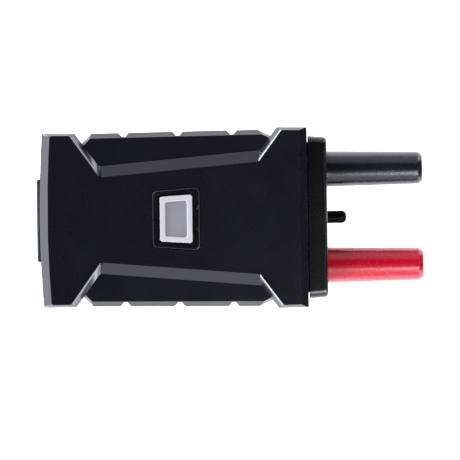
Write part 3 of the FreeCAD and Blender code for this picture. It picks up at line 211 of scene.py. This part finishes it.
# %% World light
BAND_FADE = (0.7, 0.84)
LOW_FADE = (0.17, 0.27)
QUIET_FADE = (0.28, 0.42)
QUIET_WIDTH = (0.3, 0.5)
QUIET_CUT = 0.85
SIDE_BLEND = (-0.4, 0.4)
REAR_BLEND = (0.1, 0.7)
FRONT_BLEND = (0.74, 0.8)
FRONT_SHIFT = 0.1
CORNER_BLEND = (0.5, 0.65)
REAR_GLOW = 4.5
LEFT_GLOW = 1.25
RIGHT_GLOW = 1.9
FRONT_GLOW = 0.0
CORNER_BOOST = 7.0
REAR_BOOST = 6.5
ROOM_TINT = (0.85, 0.845, 1.03, 1.0)


def make_world():
    world = bpy.data.worlds.new("studio_surround")
    bpy.context.scene.world = world
    world.use_nodes = True
    world.node_tree.nodes.clear()
    sheet = Sheet(world.node_tree)
    direction = sheet.node("ShaderNodeTexCoord", output=0)
    forward, sideways, height = sheet.split(direction)
    band = 1 - height.step(*BAND_FADE)
    side = RIGHT_GLOW + sideways.step(*SIDE_BLEND) * (LEFT_GLOW - RIGHT_GLOW)
    rear = (0 - forward).step(*REAR_BLEND)
    low = 1 - height.step(*LOW_FADE)
    front = (forward - low * FRONT_SHIFT).step(*FRONT_BLEND)
    quiet = (1 - sideways.absolute().step(*QUIET_WIDTH)) * (1 - height.step(*QUIET_FADE))
    corners = forward.step(*CORNER_BLEND) * low
    side = side * (corners * (CORNER_BOOST - 1) + 1)
    behind = REAR_GLOW * (low * (REAR_BOOST - 1) + 1)
    rear = rear * (1 - quiet * QUIET_CUT)
    glow = side + rear * (behind - side) + front * (FRONT_GLOW - side)
    light = sheet.node("ShaderNodeBackground", inputs={"Color": ROOM_TINT, "Strength": band * glow})
    sheet.node("ShaderNodeOutputWorld", inputs={"Surface": light})


make_world()
print("room light, brightest", REAR_GLOW * REAR_BOOST)

# %% Lamp
NEAR_PLACE = (0.075, -0.085, 0.13)
NEAR_TARGET = (0.01, -0.02, cad_high.z)
NEAR_SIZE = 0.06
NEAR_POWER = 0.26


def area_lamp(name, place, target, size, power):
    """A square lamp that looks at a point."""
    data = bpy.data.lights.new(name, "AREA")
    data.size = size
    data.energy = power
    lamp = bpy.data.objects.new(name, data)
    lamp.location = place
    lamp.rotation_euler = (Vector(target) - Vector(place)).to_track_quat("-Z", "Y").to_euler()
    lamp.visible_camera = False
    bpy.context.collection.objects.link(lamp)
    return lamp


area_lamp("corner_lamp", NEAR_PLACE, NEAR_TARGET, NEAR_SIZE, NEAR_POWER)
print("corner lamp", NEAR_POWER, "W")

# %% [markdown]
# ## Floor
#
# The floor is a light table: one large white sheet that also glows a little, which takes the
# shadows away. A black card beyond the plugs, which only glossy surfaces see, keeps the module's
# front slope dark.

# %% Floor
FLOOR_HALF = 3.0
SQUARE = ((-1, -1), (1, -1), (1, 1), (-1, 1))
TABLE_GLOW = 1.45
CARD_X = 0.1
CARD_HALF = 0.06


def make_floor():
    mesh = bpy.data.meshes.new("floor")
    corners = [(x * FLOOR_HALF, y * FLOOR_HALF, cad_low.z) for x, y in SQUARE]
    mesh.from_pydata(corners, [], [(0, 1, 2, 3)])
    floor = bpy.data.objects.new("floor", mesh)
    bpy.context.collection.objects.link(floor)
    paper = bpy.data.materials.new("white_paper")
    paper.use_nodes = True
    shader = paper.node_tree.nodes["Principled BSDF"]
    shader.inputs["Base Color"].default_value = (0.93, 0.93, 0.93, 1.0)
    shader.inputs["Roughness"].default_value = 0.9
    shader.inputs["Specular IOR Level"].default_value = 0.0
    shader.inputs["Emission Color"].default_value = (1.0, 1.0, 1.0, 1.0)
    shader.inputs["Emission Strength"].default_value = TABLE_GLOW
    mesh.materials.append(paper)
    floor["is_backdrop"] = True


def make_black_card():
    mesh = bpy.data.meshes.new("black_card")
    low = cad_low.z + MM
    corners = [(CARD_X, -CARD_HALF, low), (CARD_X, CARD_HALF, low),
               (CARD_X, CARD_HALF, low + CARD_HALF), (CARD_X, -CARD_HALF, low + CARD_HALF)]
    mesh.from_pydata(corners, [], [(0, 1, 2, 3)])
    card = bpy.data.objects.new("black_card", mesh)
    bpy.context.collection.objects.link(card)
    black = bpy.data.materials.new("black_card")
    black.use_nodes = True
    shader = black.node_tree.nodes["Principled BSDF"]
    shader.inputs["Base Color"].default_value = (0.0, 0.0, 0.0, 1.0)
    shader.inputs["Specular IOR Level"].default_value = 0.0
    mesh.materials.append(black)
    for ray in ("camera", "diffuse", "shadow", "transmission", "volume_scatter"):
        setattr(card, "visible_" + ray, False)
    card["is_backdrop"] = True


make_floor()
make_black_card()
print("floor", 2 * FLOOR_HALF, "m wide")

# %% [markdown]
# ## Starting a finish
#
# Every finish starts from an empty tree and ends in one Principled shader. Values that are the
# same all over go straight to the shader's own sockets. Patterns read Object coordinates, so they
# stay put when a piece moves.


# %% Finish helpers
OBJECT = 3
NORMAL = 1


def start_material(name):
    material = bpy.data.materials.new(name)
    material.use_nodes = True
    material.node_tree.nodes.clear()
    return material, Sheet(material.node_tree)


def finish_material(sheet, **inputs):
    named = {name.replace("_", " "): value for name, value in inputs.items()}
    surface = sheet.node("ShaderNodeBsdfPrincipled", inputs=named)
    sheet.node("ShaderNodeOutputMaterial", inputs={"Surface": surface})


def noise(sheet, place, size, detail=2.0, rough=0.5):
    inputs = {"Vector": place, "Scale": 1.0 / size, "Detail": detail, "Roughness": rough}
    return sheet.node("ShaderNodeTexNoise", inputs=inputs)


def bumped(sheet, height, depth):
    inputs = {"Strength": 1.0, "Distance": depth, "Height": height}
    return sheet.node("ShaderNodeBump", inputs=inputs)


def times(colour, factor, plus=0.0):
    """A colour with each part scaled, as a socket wants it."""
    return rgba([part * factor + plus for part in colour])


# %% [markdown]
# ## Moulded plastic
#
# The housing's flats carry a fine spark-eroded grain, and its bevels are smoother, because the
# tool was polished there. Two materials would need the faces sorted by hand, so both come from
# one shader: a mask from the surface's own normal picks the flats, and two noises make the grain
# and its slow variation. A thin coat on the slopes alone gives them their extra shine, and edges
# that were rolled carry light scuffs.


# %% Plastic shader
FLAT_MASK = (0.9, 0.99)
GRAIN_MASK = (0.3, 0.7)
SCUFF_SIZE = 1.4 * MM
SCUFF_MASK = (0.5, 0.62)
SCUFF_PALER = 0.012
COAT_ROUGH = 0.22


def moulded_plastic(name, colour, flat_rough, slope_rough, grain=0.22 * MM, depth=0.03 * MM,
                    mottle=0.2, gloss=0.5, coat=0.0):
    """Satin plastic: grained on faces that look up or down, smoother on its slopes."""
    material, sheet = start_material(name)
    place = sheet.node("ShaderNodeTexCoord", output=OBJECT)
    normal = sheet.node("ShaderNodeTexCoord", output=NORMAL)
    flat = sheet.split(normal)[2].absolute().step(*FLAT_MASK)
    rolled = sheet.node("ShaderNodeAttribute", {"attribute_name": "rolled"}, output=2)
    fine = noise(sheet, place, grain, 3.0, 0.6)
    coarse = noise(sheet, place, grain * 30, 2.0)
    scuffs = noise(sheet, place, SCUFF_SIZE, 4.0, 0.7).step(*SCUFF_MASK) * rolled
    rough = flat * (flat_rough - slope_rough) + slope_rough
    rough = rough + (fine - 0.5) * 0.14 + (coarse - 0.5) * 0.08
    speckle = fine.step(*GRAIN_MASK)
    base = sheet.colour_mix(speckle, times(colour, 1 - mottle), times(colour, 1 + mottle))
    base = sheet.colour_mix(scuffs, base, times(colour, 1.3, SCUFF_PALER))
    height = fine * (0.6 - flat * 0.2) * (1 - rolled * 0.5)
    finish_material(sheet, Base_Color=base, Roughness=rough - scuffs * 0.06,
                    Normal=bumped(sheet, height, depth), Specular_IOR_Level=gloss,
                    Coat_Weight=(1 - flat) * coat, Coat_Roughness=COAT_ROUGH)
    return material


# %% [markdown]
# ## The plastics
#
# Each plastic is one row: its colour, its roughness on flats and on slopes, and what differs
# from the usual grain. The blacks lean a little to blue. The plugs' sleeves have a coarser,
# orange-peel grain, and the plunger hardly shines at all.

# %% Plastics
PEEL = {"grain": 0.5 * MM, "depth": 0.05 * MM}
PLASTICS = {
    "shell_plastic": ((0.002, 0.0019, 0.0042), 0.28, 0.2, {"coat": 0.45}),
    "grip_rubber": ((0.0018, 0.0017, 0.004), 0.3, 0.34, {"depth": 0.045 * MM}),
    "collar_plastic": ((0.0008, 0.0008, 0.0014), 0.27, 0.27, {}),
    "door_plastic": ((0.0045, 0.0045, 0.006), 0.45, 0.4, {}),
    "panel_plastic": ((0.006, 0.006, 0.007), 0.5, 0.45, {}),
    "plunger_plastic": ((0.0004, 0.0004, 0.0005), 0.4, 0.4, {"gloss": 0.06}),
    "plug_black": ((0.003, 0.0036, 0.0068), 0.25, 0.25, PEEL),
    "plug_red": ((0.27, 0.0006, 0.009), 0.25, 0.25, {**PEEL, "mottle": 0.06}),
    "seal_rubber": ((0.02, 0.02, 0.022), 0.7, 0.7, {}),
    "chip_resin": ((0.02, 0.02, 0.022), 0.55, 0.5, {"grain": 0.08 * MM}),
    "foam": ((0.05, 0.05, 0.052), 0.9, 0.9, {"grain": 0.3 * MM, "depth": 0.1 * MM}),
    "chip_ceramic": ((0.42, 0.33, 0.22), 0.5, 0.5, {"mottle": 0.1}),
}
materials = {}
for name, (colour, flat_rough, slope_rough, extra) in PLASTICS.items():
    materials[name] = moulded_plastic(name, colour, flat_rough, slope_rough, **extra)
print(len(materials), "plastics")

# %% [markdown]
# ## Metal
#
# Drawn and turned metal shows fine marks along the way it was worked. A noise that is stretched
# along one axis changes the roughness and the height together.


# %% Metals
ALONG_X = (1.0, 12.0, 12.0)
EVEN = (1.0, 1.0, 1.0)


def drawn_metal(name, colour, rough, stretch=ALONG_X, line=0.6 * MM, depth=0.004 * MM):
    """Metal with marks along X, finer across."""
    material, sheet = start_material(name)
    place = sheet.node("ShaderNodeTexCoord", output=OBJECT)
    stretched = sheet.node("ShaderNodeMapping", inputs={"Vector": place, "Scale": stretch})
    marks = noise(sheet, stretched, line, 3.0, 0.6)
    base = sheet.colour_mix(marks, times(colour, 0.85), rgba(colour))
    finish_material(sheet, Base_Color=base, Metallic=1.0, Roughness=rough + (marks - 0.5) * 0.15,
                    Normal=bumped(sheet, marks, depth))
    return material


METALS = {
    "plated_brass": ((0.72, 0.69, 0.62), 0.25),
    "bare_brass": ((0.78, 0.58, 0.26), 0.28),
    "spring_steel": ((0.6, 0.6, 0.6), 0.3),
    "screw_steel": ((0.42, 0.42, 0.44), 0.35, EVEN),
    "can_metal": ((0.7, 0.7, 0.7), 0.3),
    "port_steel": ((0.55, 0.55, 0.57), 0.3),
    "battery_foil": ((0.62, 0.63, 0.65), 0.35, EVEN, 3 * MM, 0.03 * MM),
}
for name, row in METALS.items():
    materials[name] = drawn_metal(name, *row)
print(len(METALS), "metals")

# %% [markdown]
# ## Laminate and lens
#
# The board's solder mask shows the glass weave under it, as two crossed waves, and lighter
# tracks where copper lies beneath. The button is frosted plastic: pale at its thick rim and
# greyer over the sunken window, which a mask on height tells apart. The light guide and the
# lamps under it are clear.


# %% Laminate, lens and clear parts
WEAVE = 0.45 * MM
TRACK_SIZE = 2.4 * MM
TRACK_MASK = (0.05, 0.08)
RIM_TOP = 0.05 * MM
RIM_FOOT = 0.28 * MM


def woven_board(name, colour):
    """Solder mask over a glass weave, with a faint pattern of copper under it."""
    material, sheet = start_material(name)
    place = sheet.node("ShaderNodeTexCoord", output=OBJECT)
    threads = {"Vector": place, "Scale": 1.0 / (WEAVE * 20)}
    waves = [sheet.node("ShaderNodeTexWave", {"bands_direction": axis}, threads, 1) for axis in "XY"]
    cells = {"Vector": place, "Scale": 1.0 / TRACK_SIZE}
    copper = sheet.node("ShaderNodeTexVoronoi", {"feature": "DISTANCE_TO_EDGE"}, cells)
    track = 1 - copper.step(*TRACK_MASK)
    base = sheet.colour_mix(track, rgba(colour), times(colour, 1.8))
    height = (waves[0] + waves[1]) * 0.3 + track
    finish_material(sheet, Base_Color=base, Roughness=0.35 + track * 0.05,
                    Normal=bumped(sheet, height, 0.02 * MM))
    return material


def milky_lens(name, rim, window):
    """Frosted plastic: pale where it is thick at the rim, greyer over the sunken window."""
    material, sheet = start_material(name)
    place = sheet.node("ShaderNodeTexCoord", output=OBJECT)
    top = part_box("lens_button")[1].z
    level = sheet.split(place)[2].step(top - RIM_FOOT, top - RIM_TOP)
    frost = noise(sheet, place, 0.12 * MM, 3.0, 0.6)
    base = sheet.colour_mix(level, rgba(window), rgba(rim))
    finish_material(sheet, Base_Color=base, Roughness=0.38 + (frost - 0.5) * 0.1,
                    Normal=bumped(sheet, frost, 0.01 * MM),
                    Subsurface_Weight=0.15, Subsurface_Scale=0.4 * MM)
    return material


def clear_plastic(name, colour, rough):
    """Clear part, seen only with the housing open."""
    material, sheet = start_material(name)
    place = sheet.node("ShaderNodeTexCoord", output=OBJECT)
    flow = noise(sheet, place, 2.0 * MM)
    finish_material(sheet, Base_Color=rgba(colour), Roughness=rough + (flow - 0.5) * 0.06, Alpha=0.55)
    return material


materials["board_laminate"] = woven_board("board_laminate", (0.01, 0.12, 0.05))
materials["frosted_lens"] = milky_lens("frosted_lens", (0.335, 0.33, 0.33), (0.16, 0.16, 0.17))
materials["clear_guide"] = clear_plastic("clear_guide", (0.8, 0.82, 0.85), 0.12)
materials["led_resin"] = clear_plastic("led_resin", (0.85, 0.8, 0.5), 0.15)
print(len(materials), "finishes in all")

# %% [markdown]
# ## Crisp moulded edges
#
# No moulded edge is razor sharp. A CAD node arrives as loose triangles, so a copy is merged and
# its flat faces are joined into single faces. A Bevel modifier would roll every edge by the width
# that the smallest one allows, so the outer edges are picked in code and rolled with the bmesh
# bevel. The new faces are marked, because plastic scuffs there first. The mitres, where two slopes
# meet, get a much wider radius, as on the real moulding. The copy then stands for the node.


# %% Edge finishing
MERGE = 0.0004 * MM
FLAT_ANGLE = math.radians(0.6)
EDGE_ANGLE = math.radians(12.0)
SHARP_ANGLE = math.radians(32.0)
SHORT_EDGE = 0.3 * MM


def merged_copy(node):
    """The CAD node's shape as one connected bmesh with joined flat faces."""
    shape = bmesh.new()
    shape.from_mesh(frame["nodes"][node].data)
    bmesh.ops.remove_doubles(shape, verts=shape.verts, dist=MERGE)
    bmesh.ops.dissolve_limit(shape, angle_limit=FLAT_ANGLE, verts=shape.verts, edges=shape.edges)
    shape.normal_update()
    return shape


def middle_of(edge):
    return (edge.verts[0].co + edge.verts[1].co) / 2


def is_hard(edge, angle=EDGE_ANGLE):
    return len(edge.link_faces) == 2 and edge.calc_face_angle(0.0) > angle


def roll(shape, edges, width, segments=3):
    """Round the edges, and mark the new faces as rolled."""
    layer = shape.faces.layers.float.get("rolled") or shape.faces.layers.float.new("rolled")
    made = bmesh.ops.bevel(shape, geom=edges, offset=width, offset_type="OFFSET", segments=segments,
                           profile=0.5, affect="EDGES", clamp_overlap=True)
    for face in made["faces"]:
        face[layer] = 1.0
    return len(edges)


def plain_mesh(piece):
    """Turn what a piece's modifiers make into its own mesh, and take the modifiers off."""
    graph = bpy.context.evaluated_depsgraph_get()
    made = bpy.data.meshes.new_from_object(piece.evaluated_get(graph), preserve_all_data_layers=True,
                                           depsgraph=graph)
    piece.modifiers.clear()
    made.name = piece.name
    piece.data = made


def finished_piece(shape, name, node):
    """Turn a bmesh into a piece with the finish, body and place of a CAD node."""
    for face in shape.faces:
        face.smooth = True
    mesh = bpy.data.meshes.new(name)
    shape.to_mesh(mesh)
    shape.free()
    mesh.set_sharp_from_angle(angle=SHARP_ANGLE)
    mesh.materials.append(materials[slot_of[node]])
    piece = bpy.data.objects.new(name, mesh)
    bpy.context.collection.objects.link(piece)
    flats = piece.modifiers.new("flats_stay_flat", "WEIGHTED_NORMAL")
    flats.weight = 95
    flats.keep_sharp = True
    plain_mesh(piece)
    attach(piece, body_of[node])
    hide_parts(node)
    print(name, len(mesh.polygons), "faces")
    return piece


# %% [markdown]
# ## Housing shells
#
# The shells' outer edges are barely rounded. Only the mitres at the rear of the waist and at the
# rear corners are wide and soft. Edges near the seam stay as they are, because the two shells and
# the gasket meet there.


# %% Housing shells
SHELL_ROLL = 0.1 * MM
MITRE_ROLL = 0.4 * MM
CORNER_ROLL = 0.3 * MM
MITRE_DROP = 0.6 * MM
WAIST_Y = 12 * MM
SEAM_MARGIN = 4 * MM
SEAM = (cad_low.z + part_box("top_shell")[1].z) / 2


def faces_out(face, centre):
    """Does the face look away from the housing's middle?"""
    return face.normal.dot(face.calc_center_median() - centre) > 0


def roll_shell(node):
    shape = merged_copy(node)
    low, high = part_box("top_shell")
    centre = Vector(((low.x + high.x) / 2, 0.0, SEAM))

    def is_outer(edge):
        return is_hard(edge) and all(faces_out(face, centre) for face in edge.link_faces)

    def is_slope(face):
        return 0.2 < abs(face.normal.z) < 0.95

    def is_mitre(edge):
        return (is_outer(edge) and all(is_slope(face) for face in edge.link_faces)
                and abs(edge.verts[0].co.z - edge.verts[1].co.z) > MITRE_DROP)

    def is_soft(edge):
        """Is this the mitre at the rear of the waist, or one at the rear corners?"""
        return middle_of(edge).x < centre.x

    def is_waist(edge):
        return abs(middle_of(edge).y) < WAIST_Y

    for in_waist, width in ((True, MITRE_ROLL), (False, CORNER_ROLL)):
        mitres = [edge for edge in shape.edges
                  if is_mitre(edge) and is_soft(edge) and is_waist(edge) == in_waist]
        print(node, len(mitres), "mitres rolled by", round(width / MM, 2), "mm")
        roll(shape, mitres, width, 5)
        shape.normal_update()
    rims = [edge for edge in shape.edges if is_outer(edge) and edge.calc_length() > SHORT_EDGE
            and abs(middle_of(edge).z - SEAM) > SEAM_MARGIN]
    roll(shape, rims, SHELL_ROLL, 2)
    return finished_piece(shape, node + "_moulding", node)


for node in ("top_shell", "bottom_shell"):
    roll_shell(node)

# %% [markdown]
# ## Smaller mouldings
#
# The other moulded pieces have one rim width each. The frosted button is rounded most.

# %% Smaller mouldings
MOULD_ANGLE = math.radians(28)
EDGE_WIDTHS = {
    "side_grip_left": 0.07,
    "side_grip_right": 0.07,
    "front_collar": 0.1,
    "rear_panel": 0.1,
    "port_door": 0.08,
    "button_surround": 0.05,
    "lens_button": 0.2,
}
for node, width in EDGE_WIDTHS.items():
    shape = merged_copy(node)
    roll(shape, [edge for edge in shape.edges if is_hard(edge, MOULD_ANGLE)], width * MM)
    finished_piece(shape, node + "_moulding", node)

# %% [markdown]
# ## Turned and round parts
#
# Sleeves, pins and the plunger are turned shapes, so only their rims are hard edges.

# %% Round parts
RIM_ANGLE = math.radians(25)
RIM_WIDTHS = {
    "plug_shroud_black": 0.06,
    "plug_shroud_red": 0.06,
    "contact_pin_black": 0.05,
    "contact_pin_red": 0.05,
    "pin_nose_black": 0.05,
    "pin_nose_red": 0.05,
    "presence_plunger": 0.03,
    "plunger_guide": 0.08,
}
for node, width in RIM_WIDTHS.items():
    shape = merged_copy(node)
    roll(shape, [edge for edge in shape.edges if is_hard(edge, RIM_ANGLE)], width * MM, 2)
    finished_piece(shape, node + "_turned", node)

# %% [markdown]
# ## Recipes for what repeats
#
# A spring and a bead follow a path, and screws repeat one shape. Each is a Geometry Nodes tree
# with its sizes as named inputs. `grow` runs a tree on a base mesh and keeps the result as a plain
# mesh, because instances are lost when the model is exported.


# %% Geometry node helpers
GROWN_SHARP_ANGLE = math.radians(35.0)


def recipe(name, sizes, build):
    """A geometry tree with named size inputs, which ends in real geometry with a material."""
    tree = bpy.data.node_groups.new(name, "GeometryNodeTree")
    tree.interface.new_socket("Geometry", in_out="INPUT", socket_type="NodeSocketGeometry")
    for label, kind in {**sizes, "Material": "Material"}.items():
        tree.interface.new_socket(label, in_out="INPUT", socket_type="NodeSocket" + kind)
    tree.interface.new_socket("Geometry", in_out="OUTPUT", socket_type="NodeSocketGeometry")
    sheet = Sheet(tree)
    entry = tree.nodes.new("NodeGroupInput")
    given = {socket.name: Value(sheet, socket) for socket in entry.outputs}
    real = sheet.node("GeometryNodeRealizeInstances", inputs={0: build(sheet, given)})
    inputs = {"Geometry": real, "Material": given["Material"]}
    finished = sheet.node("GeometryNodeSetMaterial", inputs=inputs)
    sheet.node("NodeGroupOutput", inputs={0: finished})
    return tree


def grow(name, tree, base, slot, **sizes):
    """Run a recipe on a base mesh."""
    piece = bpy.data.objects.new(name, base)
    bpy.context.collection.objects.link(piece)
    modifier = piece.modifiers.new("recipe", "NODES")
    modifier.node_group = tree
    values = {label.replace("_", " "): value for label, value in sizes.items()}
    values["Material"] = materials[slot]
    for socket in tree.interface.items_tree:
        if socket.in_out == "INPUT" and socket.name in values:
            modifier[socket.identifier] = values[socket.name]
    plain_mesh(piece)
    for face in piece.data.polygons:
        face.use_smooth = True
    piece.data.set_sharp_from_angle(angle=GROWN_SHARP_ANGLE)
    print(name, len(piece.data.polygons), "faces")
    return piece


def points_mesh(name, points, edges=()):
    mesh = bpy.data.meshes.new(name)
    mesh.from_pydata([tuple(point) for point in points], list(edges), [])
    return mesh


def solids_of(node):
    """The box of each separate solid in a node."""
    shape = merged_copy(node)
    left = set(shape.verts)
    boxes = []
    while left:
        found = {left.pop()}
        queue = list(found)
        while queue:
            for edge in queue.pop().link_edges:
                for vert in edge.verts:
                    if vert in left:
                        left.remove(vert)
                        found.add(vert)
                        queue.append(vert)
        low = Vector([min(v.co[axis] for v in found) for axis in range(3)])
        high = Vector([max(v.co[axis] for v in found) for axis in range(3)])
        boxes.append((low, high))
    shape.free()
    return sorted(boxes, key=lambda box: (round(box[0].x, 5), round(box[0].y, 5)))


# %% [markdown]
# ## Plunger spring
#
# The CAD keeps only the room of the return spring. Here it is a real coil: a spiral curve with a
# round wire swept along it.

# %% Spring
SPRING_TURNS = 9.0
WIRE_RADIUS = 0.17 * MM


def coil(sheet, given):
    path = sheet.node("GeometryNodeCurveSpiral", inputs={
        "Resolution": 28, "Rotations": given["Turns"], "Start Radius": given["Coil Radius"],
        "End Radius": given["Coil Radius"], "Height": given["Length"]})
    wire = sheet.node("GeometryNodeCurvePrimitiveCircle", inputs={
        "Resolution": 10, "Radius": given["Wire Radius"]})
    swept = sheet.node("GeometryNodeCurveToMesh", inputs={
        "Curve": path, "Profile Curve": wire, "Fill Caps": True})
    return sheet.node("GeometryNodeTransform", inputs={
        "Geometry": swept, "Translation": given["Start"], "Rotation": (0.0, math.pi / 2, 0.0)})


low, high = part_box("plunger_spring")
outer = (high.z - low.z) / 2
start = Vector((low.x + WIRE_RADIUS, (low.y + high.y) / 2, (low.z + high.z) / 2))
coil_sizes = {
    "Turns": "Float",
    "Coil Radius": "Float",
    "Wire Radius": "Float",
    "Length": "Float",
    "Start": "Vector",
}
coil_tree = recipe("coil", coil_sizes, coil)
spring = grow("plunger_spring_coil", coil_tree, points_mesh("spring_base", []), "spring_steel",
              Turns=SPRING_TURNS, Coil_Radius=outer - WIRE_RADIUS, Wire_Radius=WIRE_RADIUS,
              Length=high.x - low.x - 2 * WIRE_RADIUS, Start=start)
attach(spring, body_of["plunger_spring"])
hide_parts("plunger_spring")
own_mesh(spring)

# %% [markdown]
# ## Bead round the window
#
# A fine raised bead frames the window, with two short branches towards the plugs. It is a bent
# line, so its corners are a polyline, and the tree fillets and sweeps it.

# %% Bead
BEAD_RADIUS = 0.07 * MM
BEAD_INSET = 0.12 * MM
BEAD_CORNER = 0.9 * MM
REAR_SHARE = 11.16 / 12.6
BRANCH_START = 1.75 * MM
BRANCH_END = 2.75 * MM


def bead(sheet, given):
    line = sheet.node("GeometryNodeMeshToCurve", inputs={"Mesh": given["Geometry"]})
    rounded = sheet.node("GeometryNodeFilletCurve", {"mode": "POLY"}, {
        "Curve": line, "Count": 6, "Radius": given["Corner"], "Limit Radius": True})
    profile = sheet.node("GeometryNodeCurvePrimitiveCircle", inputs={
        "Resolution": 8, "Radius": given["Radius"]})
    return sheet.node("GeometryNodeCurveToMesh", inputs={
        "Curve": rounded, "Profile Curve": profile, "Fill Caps": True})


low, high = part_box("button_surround")
button_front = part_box("lens_button")[1].x
front = high.x - BEAD_INSET
rear = low.x + BEAD_INSET
front_half = (high.y - low.y) / 2 - BEAD_INSET
rear_half = front_half * REAR_SHARE
frame_corners = [(rear, -rear_half), (front, -front_half), (front, front_half), (rear, rear_half)]
branches = [(x, side * y) for side in (-1, 1)
            for x, y in ((button_front + 0.1 * MM, BRANCH_START), (front, BRANCH_END))]
bead_base = points_mesh("bead_base", [(x, y, high.z) for x, y in frame_corners + branches],
                        [(0, 1), (1, 2), (2, 3), (3, 0), (4, 5), (6, 7)])
bead_tree = recipe("bead", {"Corner": "Float", "Radius": "Float"}, bead)
window_bead = grow("window_bead", bead_tree, bead_base, "door_plastic",
                   Corner=BEAD_CORNER, Radius=BEAD_RADIUS)
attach(window_bead, body_of["button_surround"])

# %% [markdown]
# ## Screws
#
# All screws are one turned shape with a six-lobed recess, made from rings of points. The tree
# puts a copy at each hole that the CAD screws fill.

# %% Screws
RING_POINTS = 36
LOBE_DEPTH = 0.09
RECESS_SHARE = 0.55


def ring_solid(name, rings):
    """A closed solid through rings of (z, radius, waviness)."""
    shape = bmesh.new()
    loops = []
    for z, radius, wave in rings:
        loop = []
        for index in range(RING_POINTS):
            angle = 2 * math.pi * index / RING_POINTS
            reach = radius * (1 + wave * math.cos(6 * angle))
            loop.append(shape.verts.new((reach * math.cos(angle), reach * math.sin(angle), z)))
        loops.append(loop)
    for lower, upper in zip(loops, loops[1:]):
        for index in range(RING_POINTS):
            after = (index + 1) % RING_POINTS
            shape.faces.new((lower[index], lower[after], upper[after], upper[index]))
    shape.faces.new(reversed(loops[0]))
    shape.faces.new(loops[-1])
    bmesh.ops.recalc_face_normals(shape, faces=shape.faces)
    mesh = bpy.data.meshes.new(name)
    shape.to_mesh(mesh)
    shape.free()
    return mesh


def screw_mesh(name, head_radius, head_height, shank_radius, length):
    """A screw that stands on its tip at the origin."""
    recess = head_radius * RECESS_SHARE
    rings = [(0.0, shank_radius * 0.6, 0.0), (shank_radius * 0.5, shank_radius, 0.0),
             (length - head_height, shank_radius, 0.0), (length - head_height, head_radius, 0.0),
             (length - head_height * 0.4, head_radius, 0.0), (length, head_radius * 0.86, 0.0),
             (length, recess, LOBE_DEPTH), (length - head_height * 0.6, recess * 0.96, LOBE_DEPTH)]
    return ring_solid(name, rings)


def scatter(sheet, given):
    pattern = sheet.node("GeometryNodeObjectInfo", inputs={"Object": given["Shape"]}, output=4)
    return sheet.node("GeometryNodeInstanceOnPoints", inputs={
        "Points": given["Geometry"], "Instance": pattern, "Rotation": given["Turn"]})


scatter_tree = recipe("scatter", {"Shape": "Object", "Turn": "Rotation"}, scatter)
SCREWS = {
    "housing_screws": {"shank": 1.0 * MM, "head": 1.5 * MM, "head_down": True},
    "board_screws": {"shank": 0.7 * MM, "head": 0.9 * MM, "head_down": False},
}


def place_screws(node, shank, head, head_down):
    boxes = solids_of(node)
    low, high = boxes[0]
    length = high.z - low.z
    radius = (high.x - low.x) / 2
    mesh = screw_mesh(node + "_shape", radius, head, shank, length)
    shape = bpy.data.objects.new(node + "_shape", mesh)
    ends = [((a.x + b.x) / 2, (a.y + b.y) / 2, b.z if head_down else a.z) for a, b in boxes]
    turn = (math.pi, 0.0, 0.0) if head_down else (0.0, 0.0, 0.0)
    screws = grow(node + "_lobed", scatter_tree, points_mesh(node + "_ends", ends), slot_of[node],
                  Shape=shape, Turn=turn)
    bpy.data.objects.remove(shape)
    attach(screws, body_of[node])
    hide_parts(node)


for node, sizes in SCREWS.items():
    place_screws(node, **sizes)

# %% [markdown]
# ## Everything else
#
# The remaining nodes keep their CAD shape and take their finish.

# %% Remaining nodes
for node, piece in frame["nodes"].items():
    piece.data.materials.clear()
    piece.data.materials.append(materials[slot_of[node]])
print("dressed", len(frame["nodes"]), "nodes")

# %% [markdown]
# ## Finish
#
# Both boxes are measured: the CAD model's at the start, the dressed model's here.

# %% Sizes and finish
low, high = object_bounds()
